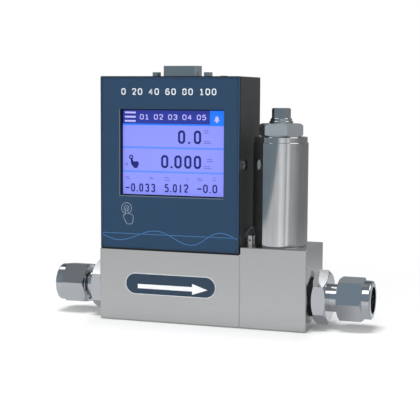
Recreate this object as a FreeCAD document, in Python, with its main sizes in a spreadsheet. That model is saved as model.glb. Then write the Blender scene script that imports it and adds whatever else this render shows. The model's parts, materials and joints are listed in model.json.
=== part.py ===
import FreeCAD, Part
import math
import os
import re

import Sketcher
from FreeCAD import Placement, Rotation, Vector

# Gas mass flow meter with a touch display and a solenoid control valve.
# X runs along the flow, from the inlet to the outlet. Y runs from the front to the back and Z up.
# The origin is the middle of the underside. Sizes are in millimetres.

SIZES = {
    # stainless base: a sensor block and a valve block, end to end
    "base_depth": 42.0,
    "sensor_length": 89.5,
    "sensor_height": 43.5,
    "valve_length": 40.25,
    "valve_height": 48.0,
    "edge_break": 0.4,
    "axis_height": 17.7,
    "thread_gap": 0.03,
    "slide_gap": 0.03,
    "port_dia": 20.4,
    "port_depth": 13.0,
    "chamber_dia": 18.0,
    "chamber_length": 60.0,
    "passage_dia": 8.0,
    "mount_spacing": 60.0,
    "mount_hole_dia": 3.3,
    "mount_hole_depth": 6.0,
    "tie_dia": 4.0,
    "tie_hole_dia": 4.4,
    "tie_head_dia": 7.0,
    "tie_head_room": 7.4,
    "tie_head_height": 4.0,
    "tie_spacing_deep": 32.0,
    "tie_edge": 6.0,
    "tie_grip": 11.0,
    "seam_seal_inner": 12.0,
    "seam_seal_width": 2.2,
    "seam_seal_depth": 1.3,
    # laminar flow element and filter
    "element_length": 28.0,
    "element_nose": 5.0,
    "element_nose_dia": 5.0,
    "element_bore_dia": 2.7,
    "element_bore_pitch_dia": 12.0,
    "element_bore_count": 8,
    "filter_thick": 1.6,
    # compression fittings, measured outwards from the block's end face
    "tube_dia": 16.0,
    "tube_gap": 0.05,
    "seal_thick": 1.2,
    "seal_width": 1.6,
    "body_flats": 28.6,
    "body_hex_length": 8.5,
    "body_bore_dia": 12.6,
    "neck_dia": 16.6,
    "nut_start": 15.4,
    "body_tube_end": 25.6,
    "socket_start": 17.0,
    "nut_thread_dia": 20.0,
    "nut_flats": 23.4,
    "nut_hex_length": 15.2,
    "nut_collar_length": 4.8,
    "nut_lip": 4.2,
    "nut_round": 1.3,
    "inlet_nut_turn": 6.3,
    "outlet_nut_turn": 6.8,
    "ferrule_nose": 2.2,
    "front_ferrule_length": 4.6,
    "front_ferrule_dia": 18.6,
    "ferrule_tip_wall": 0.35,
    "hex_bevel": 30.0,
    # thermal sensor on top of the sensor block
    "tap_spacing": 36.0,
    "tap_dia": 1.6,
    "tap_seal_dia": 6.4,
    "tap_seal_bore": 2.4,
    "tap_seal_depth": 1.3,
    "sensor_base_length": 64.0,
    "sensor_base_depth": 16.0,
    "sensor_base_height": 8.0,
    "capillary_dia": 0.9,
    "capillary_bore": 0.6,
    "capillary_rise": 30.0,
    "capillary_bend": 4.0,
    "winding_dia": 2.4,
    "winding_length": 9.0,
    "winding_spacing": 13.0,
    "sensor_can_length": 46.0,
    "sensor_can_height": 28.0,
    "sensor_can_wall": 1.0,
    "sensor_screw_spacing": 56.0,
    # housing on top of the sensor block
    "housing_side_gap": 0.65,
    "housing_height": 104.4,
    "housing_wall": 1.2,
    "housing_corner": 0.8,
    "sensor_opening_gap": 1.0,
    "cover_screw_spacing_wide": 76.0,
    "cover_screw_spacing_deep": 20.0,
    "screw_dia": 3.0,
    "screw_hole_dia": 3.4,
    "screw_head_dia": 5.8,
    "screw_head_height": 1.8,
    "screw_socket_flats": 2.0,
    "screw_socket_depth": 1.1,
    "screw_grip": 6.0,
    "side_screw_height": 52.4,
    "side_screw_setback": 7.5,
    "tab_height": 16.0,
    "tab_reach": 12.0,
    "tab_thick": 1.6,
    "panel_thick": 1.0,
    "panel_gap": 0.15,
    "panel_corner": 1.0,
    "chassis_thick": 2.0,
    "window_width": 65.9,
    "window_height": 52.1,
    "window_corner": 0.6,
    "window_offset": 1.55,
    "window_mid_height": 58.8,
    # display, boards and their posts
    "glass_width": 69.0,
    "glass_height": 55.4,
    "glass_thick": 1.8,
    "glass_gap": 0.05,
    "display_frame_rim": 2.0,
    "display_depth": 4.2,
    "display_board_side": 1.5,
    "display_board_margin": 7.3,
    "board_thick": 1.6,
    "post_edge": 4.0,
    "post_flats": 5.0,
    "post_bore": 3.0,
    "main_board_width": 78.0,
    "main_board_height": 84.0,
    "main_board_setback": 9.0,
    "main_board_lift": 8.0,
    "board_grid": 2.0,
    "processor_width": 14.0,
    "chip_width": 6.0,
    "chip_thick": 1.5,
    "capacitor_dia": 8.0,
    "capacitor_height": 6.0,
    "header_length": 20.0,
    "header_width": 5.0,
    "header_height": 7.0,
    # top connector
    "jack_spacing": 33.32,
    "connector_offset": 0.75,
    "plug_width": 24.7,
    "plug_depth": 8.2,
    "plug_slant": 10.0,
    "plug_corner": 2.4,
    "plug_rise": 6.5,
    "plug_wall": 0.5,
    "plug_gap": 0.1,
    "flange_width": 39.1,
    "flange_depth": 12.5,
    "flange_thick": 0.9,
    "plug_back_depth": 6.0,
    "contact_pitch": 2.77,
    "contact_row_gap": 2.84,
    "contact_dia": 1.0,
    "contact_tail": 4.0,
    "contact_hole_depth": 5.0,
    "jack_flats": 4.76,
    "jack_rise": 2.7,
    "jack_thread_dia": 2.8,
    "jack_bore_dia": 2.2,
    "jack_nut_height": 2.4,
    "trim_offset": 27.3,
    "trim_head_dia": 4.3,
    "trim_head_height": 0.6,
    "trim_stem_dia": 3.2,
    # solenoid valve on the valve block, heights above the block's top
    "coil_setback": 18.6,
    "cavity_dia": 18.0,
    "cavity_depth": 14.0,
    "riser_offset": 7.6,
    "riser_dia": 2.6,
    "outlet_riser_dia": 5.0,
    "drill_run": 0.6,
    "seat_spigot_dia": 7.0,
    "seat_spigot_depth": 3.0,
    "seat_dia": 11.6,
    "seat_height": 5.0,
    "seat_step": 3.4,
    "nozzle_dia": 4.4,
    "orifice_dia": 2.0,
    "stem_flange_height": 8.0,
    "stem_seal_width": 1.8,
    "stem_seal_depth": 1.4,
    "stem_dia": 11.0,
    "stem_bore": 9.0,
    "stem_height": 56.0,
    "plunger_gap": 0.05,
    "plunger_length": 37.0,
    "plunger_travel": 0.6,
    "plunger_slot_width": 1.2,
    "residual_gap": 0.1,
    "seal_disc_dia": 6.0,
    "seal_disc_thick": 1.5,
    "spring_pocket_dia": 5.6,
    "spring_pocket_depth": 9.0,
    "spring_recess": 3.0,
    "spring_wire": 0.5,
    "spring_dia": 5.0,
    "spring_turns": 8,
    "core_stud_dia": 10.0,
    "core_stud_top": 71.8,
    "cap_shank_dia": 6.0,
    "cap_shank_length": 12.0,
    "coil_dia": 32.8,
    "coil_wall": 1.6,
    "coil_height": 61.3,
    "coil_bottom_thick": 2.0,
    "coil_edge": 0.5,
    "coil_fit": 0.05,
    "bobbin_gap": 0.1,
    "bobbin_wall": 0.9,
    "bobbin_flange": 1.5,
    "winding_gap": 0.8,
    "top_plate_dia": 31.6,
    "top_plate_spigot": 2.5,
    "top_plate_rise": 3.3,
    "coil_nut_flats": 23.4,
    "coil_nut_height": 7.8,
    "cap_low_dia": 14.2,
    "cap_low_height": 1.5,
    "cap_high_dia": 12.8,
    "cap_high_height": 1.6,
    "cap_flats": 10.1,
    "cap_hex_height": 6.0,
    # lead from the housing to the coil, and the tab beside it
    "lead_dia": 3.2,
    "lead_gap": 0.05,
    "lead_exit_deep": -7.0,
    "lead_exit_height": 10.3,
    "lead_entry_height": 10.3,
    "lead_entry_turn": 16.0,
    "lead_bend": 3.0,
    "lead_inside": 2.1,
    "clip_width": 2.6,
    "clip_height": 5.4,
    "clip_thick": 1.0,
    "clip_deep": -7.5,
    "clip_side_gap": 1.7,
    "clip_hole_dia": 1.3,
    # flow direction plate
    "label_width": 57.9,
    "label_height": 13.0,
    "label_round": 6.4,
    "label_thick": 0.4,
    "label_mid_height": 22.8,
    "label_offset": 1.2,
}

# Places worked out from the sizes, as formulas.
LEFT = "(-(sensor_length + valve_length) / 2)"
RIGHT = "((sensor_length + valve_length) / 2)"
SEAM = "((sensor_length - valve_length) / 2)"
FRONT = "(-base_depth / 2)"
SENSOR_X = "(-valve_length / 2)"
COIL_X = f"({SEAM} + coil_setback)"
HOUSING_TOP = "(sensor_height + housing_height)"
HOUSING_WIDTH = "(sensor_length - 2 * housing_side_gap)"
HOUSING_INSIDE = f"({HOUSING_WIDTH} - 2 * housing_wall)"
HOUSING_RIGHT = f"({SENSOR_X} + {HOUSING_WIDTH} / 2)"
SOCKET = "(tube_dia / 2 + tube_gap)"
THREAD = "(nut_thread_dia / 2)"
NUT_END = "(nut_start + nut_hex_length + nut_collar_length)"
SHOULDER = f"({NUT_END} - nut_lip)"
FERRULE_START = "(body_tube_end - ferrule_nose)"
DISPLAY_FACE = "(panel_thick + chassis_thick)"
DISPLAY_BACK = f"({DISPLAY_FACE} + display_depth)"
WINDOW_X = f"({SENSOR_X} + window_offset)"
WINDOW_Z = "(sensor_height + window_mid_height)"
MAIN_BOARD_Y = "(base_depth / 2 - housing_wall - main_board_setback)"
CONNECTOR_X = f"({SENSOR_X} + connector_offset)"
WALL_UNDERSIDE = f"({HOUSING_TOP} - housing_wall)"
FLANGE_UNDERSIDE = f"({WALL_UNDERSIDE} - flange_thick)"
CAVITY_FLOOR = "(valve_height - cavity_depth)"
PLUNGER_BOTTOM = f"({CAVITY_FLOOR} + seat_height)"
PLUNGER_TOP = f"({PLUNGER_BOTTOM} + plunger_length)"
CORE_BOTTOM = f"({PLUNGER_TOP} + plunger_travel + residual_gap)"
COIL_TOP = "(valve_height + coil_height)"
PLATE_TOP = f"({COIL_TOP} + top_plate_rise)"
NUT_TOP = f"({PLATE_TOP} + coil_nut_height)"
COIL_BORE = "(coil_dia / 2 - coil_wall)"
STUD_TOP = "(valve_height + core_stud_top)"

ALIAS = re.compile(r"\b(" + "|".join(sorted(SIZES, key=len, reverse=True)) + r")\b")

doc = FreeCAD.newDocument("flow_meter")
sheet = doc.addObject("Spreadsheet::Sheet", "Sizes")
for row, (alias, size) in enumerate(SIZES.items(), start=1):
    sheet.set(f"A{row}", alias)
    sheet.set(f"B{row}", str(size))
    sheet.setAlias(f"B{row}", alias)
doc.recompute()

parts = {}


def formula(text):
    """Write a formula of size names in the form that setExpression takes."""
    return ALIAS.sub(lambda found: "Sizes." + found.group(0), str(text))


def value(text):
    """Work a formula out from the sheet."""
    return float(origin_probe.evalExpression(formula(text)))


def bind(thing, **sizes):
    """Bind properties of an object to formulas."""
    for name, text in sizes.items():
        thing.setExpression(name, formula(text))


def place(thing, x="0", y="0", z="0", turn=None):
    """Bind an object's place to formulas, with a fixed rotation."""
    thing.Placement = Placement(Vector(), turn or Rotation())
    for axis, text in zip("xyz", (x, y, z)):
        if text != "0":
            thing.setExpression(f"Placement.Base.{axis}", formula(text))


def keep(label, thing):
    """Register a finished sub-part under the name of its file."""
    thing.Label = label
    parts[label] = thing
    return thing


origin_probe = doc.addObject("Part::Vertex", "OriginProbe")

SPRING_POINTS = 12

ALONG_X = Rotation(Vector(0, 1, 0), 90)
ALONG_MINUS_X = Rotation(Vector(0, 1, 0), -90)
ALONG_Y = Rotation(Vector(1, 0, 0), -90)
HALF_TURN = Rotation(Vector(0, 0, 1), 180)


# Part primitives and booleans

def cylinder(name, radius, length, x="0", y="0", z="0", turn=None):
    """A round bar standing on its place."""
    bar = doc.addObject("Part::Cylinder", name)
    bind(bar, Radius=radius, Height=length)
    place(bar, x, y, z, turn)
    return bar


def block(name, width, deep, tall, x="0", y="0", z="0"):
    """A box centred on its place in X and Y and standing on it."""
    box = doc.addObject("Part::Box", name)
    bind(box, Length=width, Width=deep, Height=tall)
    place(box, f"{x} - ({width}) / 2", f"{y} - ({deep}) / 2", z)
    return box


def hexagon_bar(name, flats, length, x="0", y="0", z="0", turn=None):
    """A hexagonal bar of a width across flats."""
    bar = doc.addObject("Part::Prism", name)
    bar.Polygon = 6
    bind(bar, Circumradius=f"({flats}) / sqrt(3)", Height=length)
    place(bar, x, y, z, turn)
    return bar


def cut(name, base, tool):
    """One solid less another."""
    result = doc.addObject("Part::Cut", name)
    result.Base = base
    result.Tool = tool
    return result


def fuse(name, shapes):
    """Several solids made one."""
    result = doc.addObject("Part::MultiFuse", name)
    result.Shapes = shapes
    return result


def group(label, members):
    """Separate solids that share one node."""
    result = doc.addObject("Part::Compound", label)
    result.Links = members
    return keep(label, result)


def ring(name, outer, inner, length, x="0", y="0", z="0", turn=None):
    """A flat ring standing on its place."""
    result = cut(name, cylinder(name + "Disc", outer, length), cylinder(name + "Hole", inner, length))
    place(result, x, y, z, turn)
    return result


def screw(name, dia, grip, head_dia, head_height, socket_flats, socket_depth, x, y, z, turn=None):
    """A socket screw: its head stands on its place and its shank hangs below."""
    head = cylinder(name + "Head", f"{head_dia} / 2", head_height)
    shank = cylinder(name + "Shank", f"{dia} / 2 - thread_gap", grip, z=f"-({grip})")
    socket = hexagon_bar(name + "Socket", socket_flats, socket_depth, z=f"{head_height} - {socket_depth}")
    result = cut(name, fuse(name + "Blank", [head, shank]), socket)
    place(result, x, y, z, turn)
    return result


def small_screw(name, grip, x, y, z, turn=None):
    """One of the small cap screws used in the housing."""
    return screw(name, "screw_dia", grip, "screw_head_dia", "screw_head_height",
                 "screw_socket_flats", "screw_socket_depth", x, y, z, turn)


def post(name, length, x, y, z, turn):
    """A hexagonal post standing on the board it holds, bored for that board's screw."""
    bar = hexagon_bar(name + "Bar", "post_flats", length)
    result = cut(name, bar, cylinder(name + "Bore", "screw_dia / 2", "post_bore"))
    place(result, x, y, z, turn)
    return result


# Bodies made of sketches and features

def new_body(name):
    return doc.addObject("PartDesign::Body", name.title().replace("_", ""))


def new_sketch(body, plane, lift="0"):
    """An empty sketch on one of the body's own planes, lifted along the plane's normal."""
    sketch = body.newObject("Sketcher::SketchObject", body.Name + "Sketch")
    role = plane + "_Plane"
    support = next(feature for feature in body.Origin.OriginFeatures if feature.Role == role)
    sketch.AttachmentSupport = [(support, "")]
    sketch.MapMode = "FlatFace"
    if lift != "0":
        sketch.setExpression("AttachmentOffset.Base.z", formula(lift))
    return sketch


def pin_point(sketch, edge, end, u, v):
    """Hold one point of a sketch at a pair of formulas."""
    for kind, text in (("DistanceX", u), ("DistanceY", v)):
        number = sketch.addConstraint(Sketcher.Constraint(kind, -1, 1, edge, end, value(text)))
        sketch.setExpression(f"Constraints[{number}]", formula(text))


def size_edge(sketch, kind, edge, text):
    """Hold the radius or diameter of an edge."""
    number = sketch.addConstraint(Sketcher.Constraint(kind, edge, value(text)))
    sketch.setExpression(f"Constraints[{number}]", formula(text))


def sign(number):
    return 0 if abs(number) < 1e-9 else int(math.copysign(1, number))


def corner(points, index):
    """Arrival, leaving and centre formulas of one corner, and the way it turns."""
    u, v, *rounding = points[index]
    ends = {"arrive": (u, v), "leave": (u, v), "radius": None}
    if not rounding:
        return ends
    radius = rounding[0]
    here = Vector(value(u), value(v))
    before = Vector(*[value(text) for text in points[index - 1][:2]])
    after = Vector(*[value(text) for text in points[(index + 1) % len(points)][:2]])
    came = [sign(here.x - before.x), sign(here.y - before.y)]
    goes = [sign(after.x - here.x), sign(after.y - here.y)]
    ends["radius"] = radius
    ends["arrive"] = tuple(f"{t} - ({c}) * ({radius})" for t, c in zip((u, v), came))
    ends["leave"] = tuple(f"{t} + ({g}) * ({radius})" for t, g in zip((u, v), goes))
    ends["centre"] = tuple(f"{t} - ({c}) * ({radius}) + ({g}) * ({radius})"
                           for t, c, g in zip((u, v), came, goes))
    ends["left_turn"] = came[0] * goes[1] - came[1] * goes[0] > 0
    return ends


def outline(sketch, points, closed=True):
    """Draw straight runs through points; a third value rounds a square corner."""
    corners = [corner(points, index) for index in range(len(points))]
    last = len(corners) if closed else len(corners) - 1
    for index in range(last):
        here, there = corners[index], corners[(index + 1) % len(corners)]
        start = Vector(value(here["leave"][0]), value(here["leave"][1]))
        stop = Vector(value(there["arrive"][0]), value(there["arrive"][1]))
        line = sketch.addGeometry(Part.LineSegment(start, stop), False)
        here["line_out"], there["line_in"] = line, line
        pin_point(sketch, line, 1, *here["leave"])
        if there["radius"] or (not closed and index == last - 1):
            pin_point(sketch, line, 2, *there["arrive"])
    for spot in corners:
        if "line_in" not in spot or "line_out" not in spot:
            continue
        if spot["radius"] is None:
            sketch.addConstraint(Sketcher.Constraint("Coincident", spot["line_in"], 2, spot["line_out"], 1))
            continue
        round_corner(sketch, spot)
    return sketch


def round_corner(sketch, spot):
    """Join two straight runs by a quarter arc of a bound radius."""
    centre = Vector(value(spot["centre"][0]), value(spot["centre"][1]))
    ends = [Vector(value(spot[name][0]), value(spot[name][1])) for name in ("arrive", "leave")]
    order = ends if spot["left_turn"] else ends[::-1]
    angles = [math.atan2(point.y - centre.y, point.x - centre.x) for point in order]
    circle = Part.Circle(centre, Vector(0, 0, 1), value(spot["radius"]))
    arc = sketch.addGeometry(Part.ArcOfCircle(circle, angles[0], angles[1]), False)
    arrive, leave = (1, 2) if spot["left_turn"] else (2, 1)
    sketch.addConstraint(Sketcher.Constraint("Coincident", spot["line_in"], 2, arc, arrive))
    sketch.addConstraint(Sketcher.Constraint("Coincident", arc, leave, spot["line_out"], 1))
    size_edge(sketch, "Radius", arc, spot["radius"])


def rectangle(sketch, width, tall, u="0", v="0", rounding=None):
    """A rectangle centred on a point, with rounded corners where asked."""
    tail = (rounding,) if rounding else ()
    return outline(sketch, [
        (f"{u} - ({width}) / 2", f"{v} - ({tall}) / 2", *tail),
        (f"{u} + ({width}) / 2", f"{v} - ({tall}) / 2", *tail),
        (f"{u} + ({width}) / 2", f"{v} + ({tall}) / 2", *tail),
        (f"{u} - ({width}) / 2", f"{v} + ({tall}) / 2", *tail),
    ])


def hexagon(sketch, flats, turn="0"):
    """A regular hexagon round the sketch's origin, turned by an angle in degrees."""
    reach = f"({flats}) / sqrt(3)"
    return outline(sketch, [
        (f"{reach} * cos({turn} + {60 * side})", f"{reach} * sin({turn} + {60 * side})")
        for side in range(6)
    ])


def circles(sketch, spots):
    """Circles at places, each a pair of formulas and a diameter."""
    for u, v, dia in spots:
        centre = Vector(value(u), value(v))
        edge = sketch.addGeometry(Part.Circle(centre, Vector(0, 0, 1), value(dia) / 2), False)
        pin_point(sketch, edge, 3, u, v)
        size_edge(sketch, "Diameter", edge, dia)
    return sketch


def add(body, sketch, length, flip=False):
    """Pad a sketch along its normal, or against it."""
    feature = body.newObject("PartDesign::Pad", "Pad")
    feature.Profile = sketch
    feature.Reversed = flip
    bind(feature, Length=length)
    doc.recompute()
    return feature


def check_cut(body, before):
    """A cut that points away from the solid takes nothing and shows no error."""
    if not body.Shape.Volume < before - 1e-4:
        raise RuntimeError(f"{body.Name}: the last cut took nothing")


def pocket(body, sketch, depth, flip=False):
    """Cut a sketch against its normal, or along it."""
    before = body.Shape.Volume
    feature = body.newObject("PartDesign::Pocket", "Pocket")
    feature.Profile = sketch
    feature.Reversed = flip
    bind(feature, Length=depth)
    doc.recompute()
    check_cut(body, before)
    return feature


def revolve(body, sketch, axis):
    """Turn a profile about one of the sketch's axes."""
    feature = body.newObject("PartDesign::Revolution", "Turned")
    feature.Profile = sketch
    feature.ReferenceAxis = (sketch, [axis])
    feature.Angle = 360
    doc.recompute()
    return feature


def groove(body, sketch, axis):
    """Turn a profile about one of the sketch's axes and take it away."""
    before = body.Shape.Volume
    feature = body.newObject("PartDesign::Groove", "Groove")
    feature.Profile = sketch
    feature.ReferenceAxis = (sketch, [axis])
    feature.Angle = 360
    doc.recompute()
    check_cut(body, before)
    return feature


def edges_of(shape, test):
    return [f"Edge{number}" for number, edge in enumerate(shape.Edges, start=1) if test(edge)]


def dress(body, kind, base, edges, size):
    """Fillet or chamfer chosen edges."""
    feature = body.newObject(f"PartDesign::{kind}", kind)
    feature.Base = (base, edges)
    bind(feature, **({"Radius": size} if kind == "Fillet" else {"Size": size}))
    doc.recompute()
    return feature


def pattern_round(body, feature, sketch, axis, count):
    """Repeat a feature round one of its sketch's axes."""
    pattern = body.newObject("PartDesign::PolarPattern", "Ring")
    pattern.Originals = [feature]
    pattern.Axis = (sketch, [axis])
    pattern.Angle = 360
    bind(pattern, Occurrences=count)
    body.Tip = pattern
    doc.recompute()
    return pattern


def straight_along(axis):
    """A test for straight edges that run along an axis."""
    def test(edge):
        way = edge.tangentAt(edge.FirstParameter)
        return isinstance(edge.Curve, Part.Line) and abs(way.dot(axis)) > 0.999
    return test


def turned(label, plane, axis, points):
    """A turned piece: a closed profile swept round one axis of its sketch."""
    body = new_body(label)
    revolve(body, outline(new_sketch(body, plane), points), axis)
    return keep(label, body)


def upright(label, points, x=COIL_X, y="0", z="0"):
    """A piece turned about the vertical, from pairs of radius and height."""
    body = turned(label, "XZ", "V_Axis", points)
    place(body, x, y, z)
    return body


# Base blocks

def tie_places():
    """The four places, in Y and Z, of the screws that tie the blocks together."""
    return [(f"{side} * tie_spacing_deep / 2", tall)
            for side in (-1, 1) for tall in ("tie_edge", "sensor_height - tie_edge")]


def base_blank(label, length, tall):
    """A ground block with its edges broken, from its left face along X."""
    body = new_body(label)
    sketch = rectangle(new_sketch(body, "XY"), length, "base_depth", u=f"{length} / 2")
    blank = add(body, sketch, tall)
    dress(body, "Chamfer", blank, edges_of(blank.Shape, lambda edge: True), "edge_break")
    return keep(label, body)


def make_sensor_block():
    body = base_blank("sensor_block", "sensor_length", "sensor_height")
    bore = [("0", "axis_height")]
    pocket(body, circles(new_sketch(body, "YZ"), [(*bore[0], "port_dia + 2 * thread_gap")]),
           "port_depth", flip=True)
    pocket(body, circles(new_sketch(body, "YZ"), [(*bore[0], "chamber_dia")]),
           "port_depth + chamber_length", flip=True)
    pocket(body, circles(new_sketch(body, "YZ"), [(*bore[0], "passage_dia")]), "sensor_length", flip=True)
    pocket(body, circles(new_sketch(body, "YZ"), [(*spot, "tie_hole_dia") for spot in tie_places()]),
           "sensor_length", flip=True)
    pocket(body, circles(new_sketch(body, "YZ"), [(*spot, "tie_head_room") for spot in tie_places()]),
           "tie_head_height + 0.4", flip=True)
    middle = "sensor_length / 2"
    taps = [(f"{middle} + {side} * tap_spacing / 2", "0") for side in (-1, 1)]
    pocket(body, circles(new_sketch(body, "XY", "sensor_height"), [(*tap, "tap_dia") for tap in taps]),
           "sensor_height - axis_height")
    pocket(body, circles(new_sketch(body, "XY", "sensor_height"), [(*tap, "tap_seal_dia") for tap in taps]),
           "tap_seal_depth")
    threads = [(f"{middle} + {side} * sensor_screw_spacing / 2", "0") for side in (-1, 1)]
    threads += [(f"{middle} + {wide} * cover_screw_spacing_wide / 2",
                 f"{deep} * cover_screw_spacing_deep / 2") for wide in (-1, 1) for deep in (-1, 1)]
    pocket(body, circles(new_sketch(body, "XY", "sensor_height"), [(*spot, "screw_dia") for spot in threads]),
           "screw_grip + 1")
    mount_x = "(sensor_length + valve_length) / 2 - mount_spacing / 2"
    pocket(body, circles(new_sketch(body, "XY"), [(mount_x, "0", "mount_hole_dia")]),
           "mount_hole_depth", flip=True)
    place(body, LEFT)


def make_valve_block():
    body = base_blank("valve_block", "valve_length", "valve_height")
    seal_outer = "seam_seal_inner + 2 * seam_seal_width"
    pocket(body, circles(new_sketch(body, "YZ"), [("0", "axis_height", seal_outer),
                                                 ("0", "axis_height", "seam_seal_inner")]),
           "seam_seal_depth", flip=True)
    pocket(body, circles(new_sketch(body, "YZ"), [("0", "axis_height", "passage_dia")]),
           "coil_setback - riser_offset + riser_dia / 2 + drill_run", flip=True)
    pocket(body, circles(new_sketch(body, "YZ"), [(*spot, "tie_dia") for spot in tie_places()]),
           "tie_grip + 1", flip=True)
    pocket(body, circles(new_sketch(body, "YZ", "valve_length"),
                         [("0", "axis_height", "port_dia + 2 * thread_gap")]), "port_depth")
    pocket(body, circles(new_sketch(body, "YZ", "valve_length"), [("0", "axis_height", "passage_dia")]),
           "valve_length - coil_setback + outlet_riser_dia / 2 + drill_run")
    pocket(body, circles(new_sketch(body, "XY", "valve_height"), [("coil_setback", "0", "cavity_dia")]),
           "cavity_depth")
    pocket(body, circles(new_sketch(body, "XY", CAVITY_FLOOR),
                         [("coil_setback", "0", "seat_spigot_dia + 2 * slide_gap")]), "seat_spigot_depth")
    pocket(body, circles(new_sketch(body, "XY", CAVITY_FLOOR), [("coil_setback", "0", "outlet_riser_dia")]),
           f"{CAVITY_FLOOR} - axis_height")
    pocket(body, circles(new_sketch(body, "XY", CAVITY_FLOOR),
                         [("coil_setback - riser_offset", "0", "riser_dia")]),
           f"{CAVITY_FLOOR} - axis_height")
    mount_x = "mount_spacing / 2 - (sensor_length - valve_length) / 2"
    pocket(body, circles(new_sketch(body, "XY"), [(mount_x, "0", "mount_hole_dia")]),
           "mount_hole_depth", flip=True)
    place(body, SEAM)


def make_tie_screws():
    """Long socket screws from the inlet end face into the valve block."""
    members = []
    for number, (deep, tall) in enumerate(tie_places(), start=1):
        members.append(screw(f"TieScrew{number}", "tie_dia", "sensor_length - tie_head_height - 0.4 + tie_grip",
                             "tie_head_dia", "tie_head_height", "3", "2",
                             f"{LEFT} + tie_head_height + 0.4", deep, tall, ALONG_MINUS_X))
    group("tie_screws", members)


def make_seam_seal():
    seal = ring("SeamSeal", "seam_seal_inner / 2 + seam_seal_width", "seam_seal_inner / 2", "seam_seal_depth",
                SEAM, "0", "axis_height", ALONG_X)
    keep("seam_seal", seal)


# Flow path

def make_flow_element():
    """The laminar flow element: a plug with a ring of straight bores between two noses."""
    radius = "(chamber_dia / 2 - slide_gap)"
    body = new_body("flow_element")
    revolve(body, outline(new_sketch(body, "XZ"), [
        ("0", "0"),
        ("0", "element_nose_dia / 2"),
        ("element_nose", radius),
        ("element_length - element_nose", radius),
        ("element_length", "element_nose_dia / 2"),
        ("element_length", "0"),
    ]), "H_Axis")
    sketch = circles(new_sketch(body, "YZ"), [("element_bore_pitch_dia / 2", "0", "element_bore_dia")])
    bore = pocket(body, sketch, "element_length", flip=True)
    pattern_round(body, bore, sketch, "N_Axis", "element_bore_count")
    place(body, f"{SENSOR_X} - element_length / 2", "0", "axis_height")
    keep("flow_element", body)


def make_inlet_filter():
    disc = cylinder("InletFilter", "port_dia / 2", "filter_thick",
                    f"{LEFT} + port_depth - filter_thick", "0", "axis_height", ALONG_X)
    keep("inlet_filter", disc)


# Compression fittings, modelled outwards from the block's face along X

def bevel_triangle(sketch, end, flats, way):
    """The profile that bevels a hexagon's end: way is 1 where the hexagon lies to the left of it."""
    far = f"({flats}) * 0.6"
    slope = f"(({far}) - ({flats}) / 2 * 0.985) * tan(hex_bevel)"
    return outline(sketch, [
        (end, f"({flats}) / 2 * 0.985"),
        (f"{end} - {way} * {slope}", far),
        (f"{end} + {way} * 0.01", far),
    ])


def make_fitting_body(label):
    """The body: port thread, hexagon, neck and the threaded tube end with its cone."""
    body = new_body(label)
    hexagon_end = "seal_thick + body_hex_length"
    add(body, hexagon(new_sketch(body, "YZ", "seal_thick"), "body_flats", "30"), "body_hex_length")
    for end, way in (("seal_thick", -1), (hexagon_end, 1)):
        groove(body, bevel_triangle(new_sketch(body, "XZ"), end, "body_flats", way), "H_Axis")
    shank = "(port_depth - filter_thick)"
    mouth = f"({SOCKET} + ferrule_nose * tan(24))"
    revolve(body, outline(new_sketch(body, "XZ"), [
        (f"-{shank}", "body_bore_dia / 2"),
        (f"-{shank}", "port_dia / 2 - 1"),
        (f"-{shank} + 1", "port_dia / 2"),
        ("seal_thick + 1", "port_dia / 2"),
        (f"{hexagon_end} - 1", "neck_dia / 2"),
        ("nut_start + 0.6", "neck_dia / 2"),
        ("nut_start + 1.4", THREAD),
        ("body_tube_end - 0.6", THREAD),
        ("body_tube_end", f"{THREAD} - 0.6"),
        ("body_tube_end", mouth),
        (FERRULE_START, SOCKET),
        ("socket_start", SOCKET),
        ("socket_start", "body_bore_dia / 2"),
    ]), "H_Axis")
    inside = outline(new_sketch(body, "XZ"), [
        (f"-{shank} - 1", "0"),
        (f"-{shank} - 1", "body_bore_dia / 2"),
        ("socket_start", "body_bore_dia / 2"),
        ("socket_start", "0"),
    ])
    groove(body, inside, "H_Axis")
    return keep(label, body)


def make_fitting_nut(label, turn):
    """The nut: hexagon, round collar, thread bore, ferrule cavity and the hole for the tube."""
    body = new_body(label)
    hexagon_end = "(nut_start + nut_hex_length)"
    add(body, hexagon(new_sketch(body, "YZ", "nut_start"), "nut_flats", turn), "nut_hex_length")
    for end, way in (("nut_start", -1), (hexagon_end, 1)):
        groove(body, bevel_triangle(new_sketch(body, "XZ"), end, "nut_flats", way), "H_Axis")
    collar = add(body, circles(new_sketch(body, "YZ", hexagon_end), [("0", "0", "nut_flats - 0.5")]),
                 "nut_collar_length")
    rim = edges_of(collar.Shape, lambda edge: edge.BoundBox.XMin > value(NUT_END) - 1e-3)
    dress(body, "Fillet", collar, rim, "nut_round")
    bore = f"({THREAD} + thread_gap)"
    groove(body, outline(new_sketch(body, "XZ"), [
        ("nut_start - 1", "0"),
        ("nut_start - 1", f"{bore} + 0.6"),
        ("nut_start", f"{bore} + 0.6"),
        ("nut_start + 0.6", bore),
        (f"{SHOULDER} - 1.6", bore),
        (SHOULDER, "front_ferrule_dia / 2 - 0.2"),
        (SHOULDER, SOCKET),
        (f"{NUT_END} + 1", SOCKET),
        (f"{NUT_END} + 1", "0"),
    ]), "H_Axis")
    return keep(label, body)


def make_front_ferrule(label):
    """The front ferrule: a wedge that the body's cone closes on the tube."""
    tip = f"({SOCKET} + ferrule_tip_wall)"
    return turned(label, "XZ", "H_Axis", [
        (FERRULE_START + " + ferrule_tip_wall / tan(24)", SOCKET),
        (FERRULE_START + " + ferrule_tip_wall / tan(24)", tip),
        ("body_tube_end", f"{SOCKET} + ferrule_nose * tan(24)"),
        ("body_tube_end + 0.5", "front_ferrule_dia / 2"),
        (f"{FERRULE_START} + front_ferrule_length", "front_ferrule_dia / 2"),
        (f"{FERRULE_START} + front_ferrule_length", f"{SOCKET} + 0.4"),
        (f"{FERRULE_START} + front_ferrule_length - 0.8", SOCKET),
    ])


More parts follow.
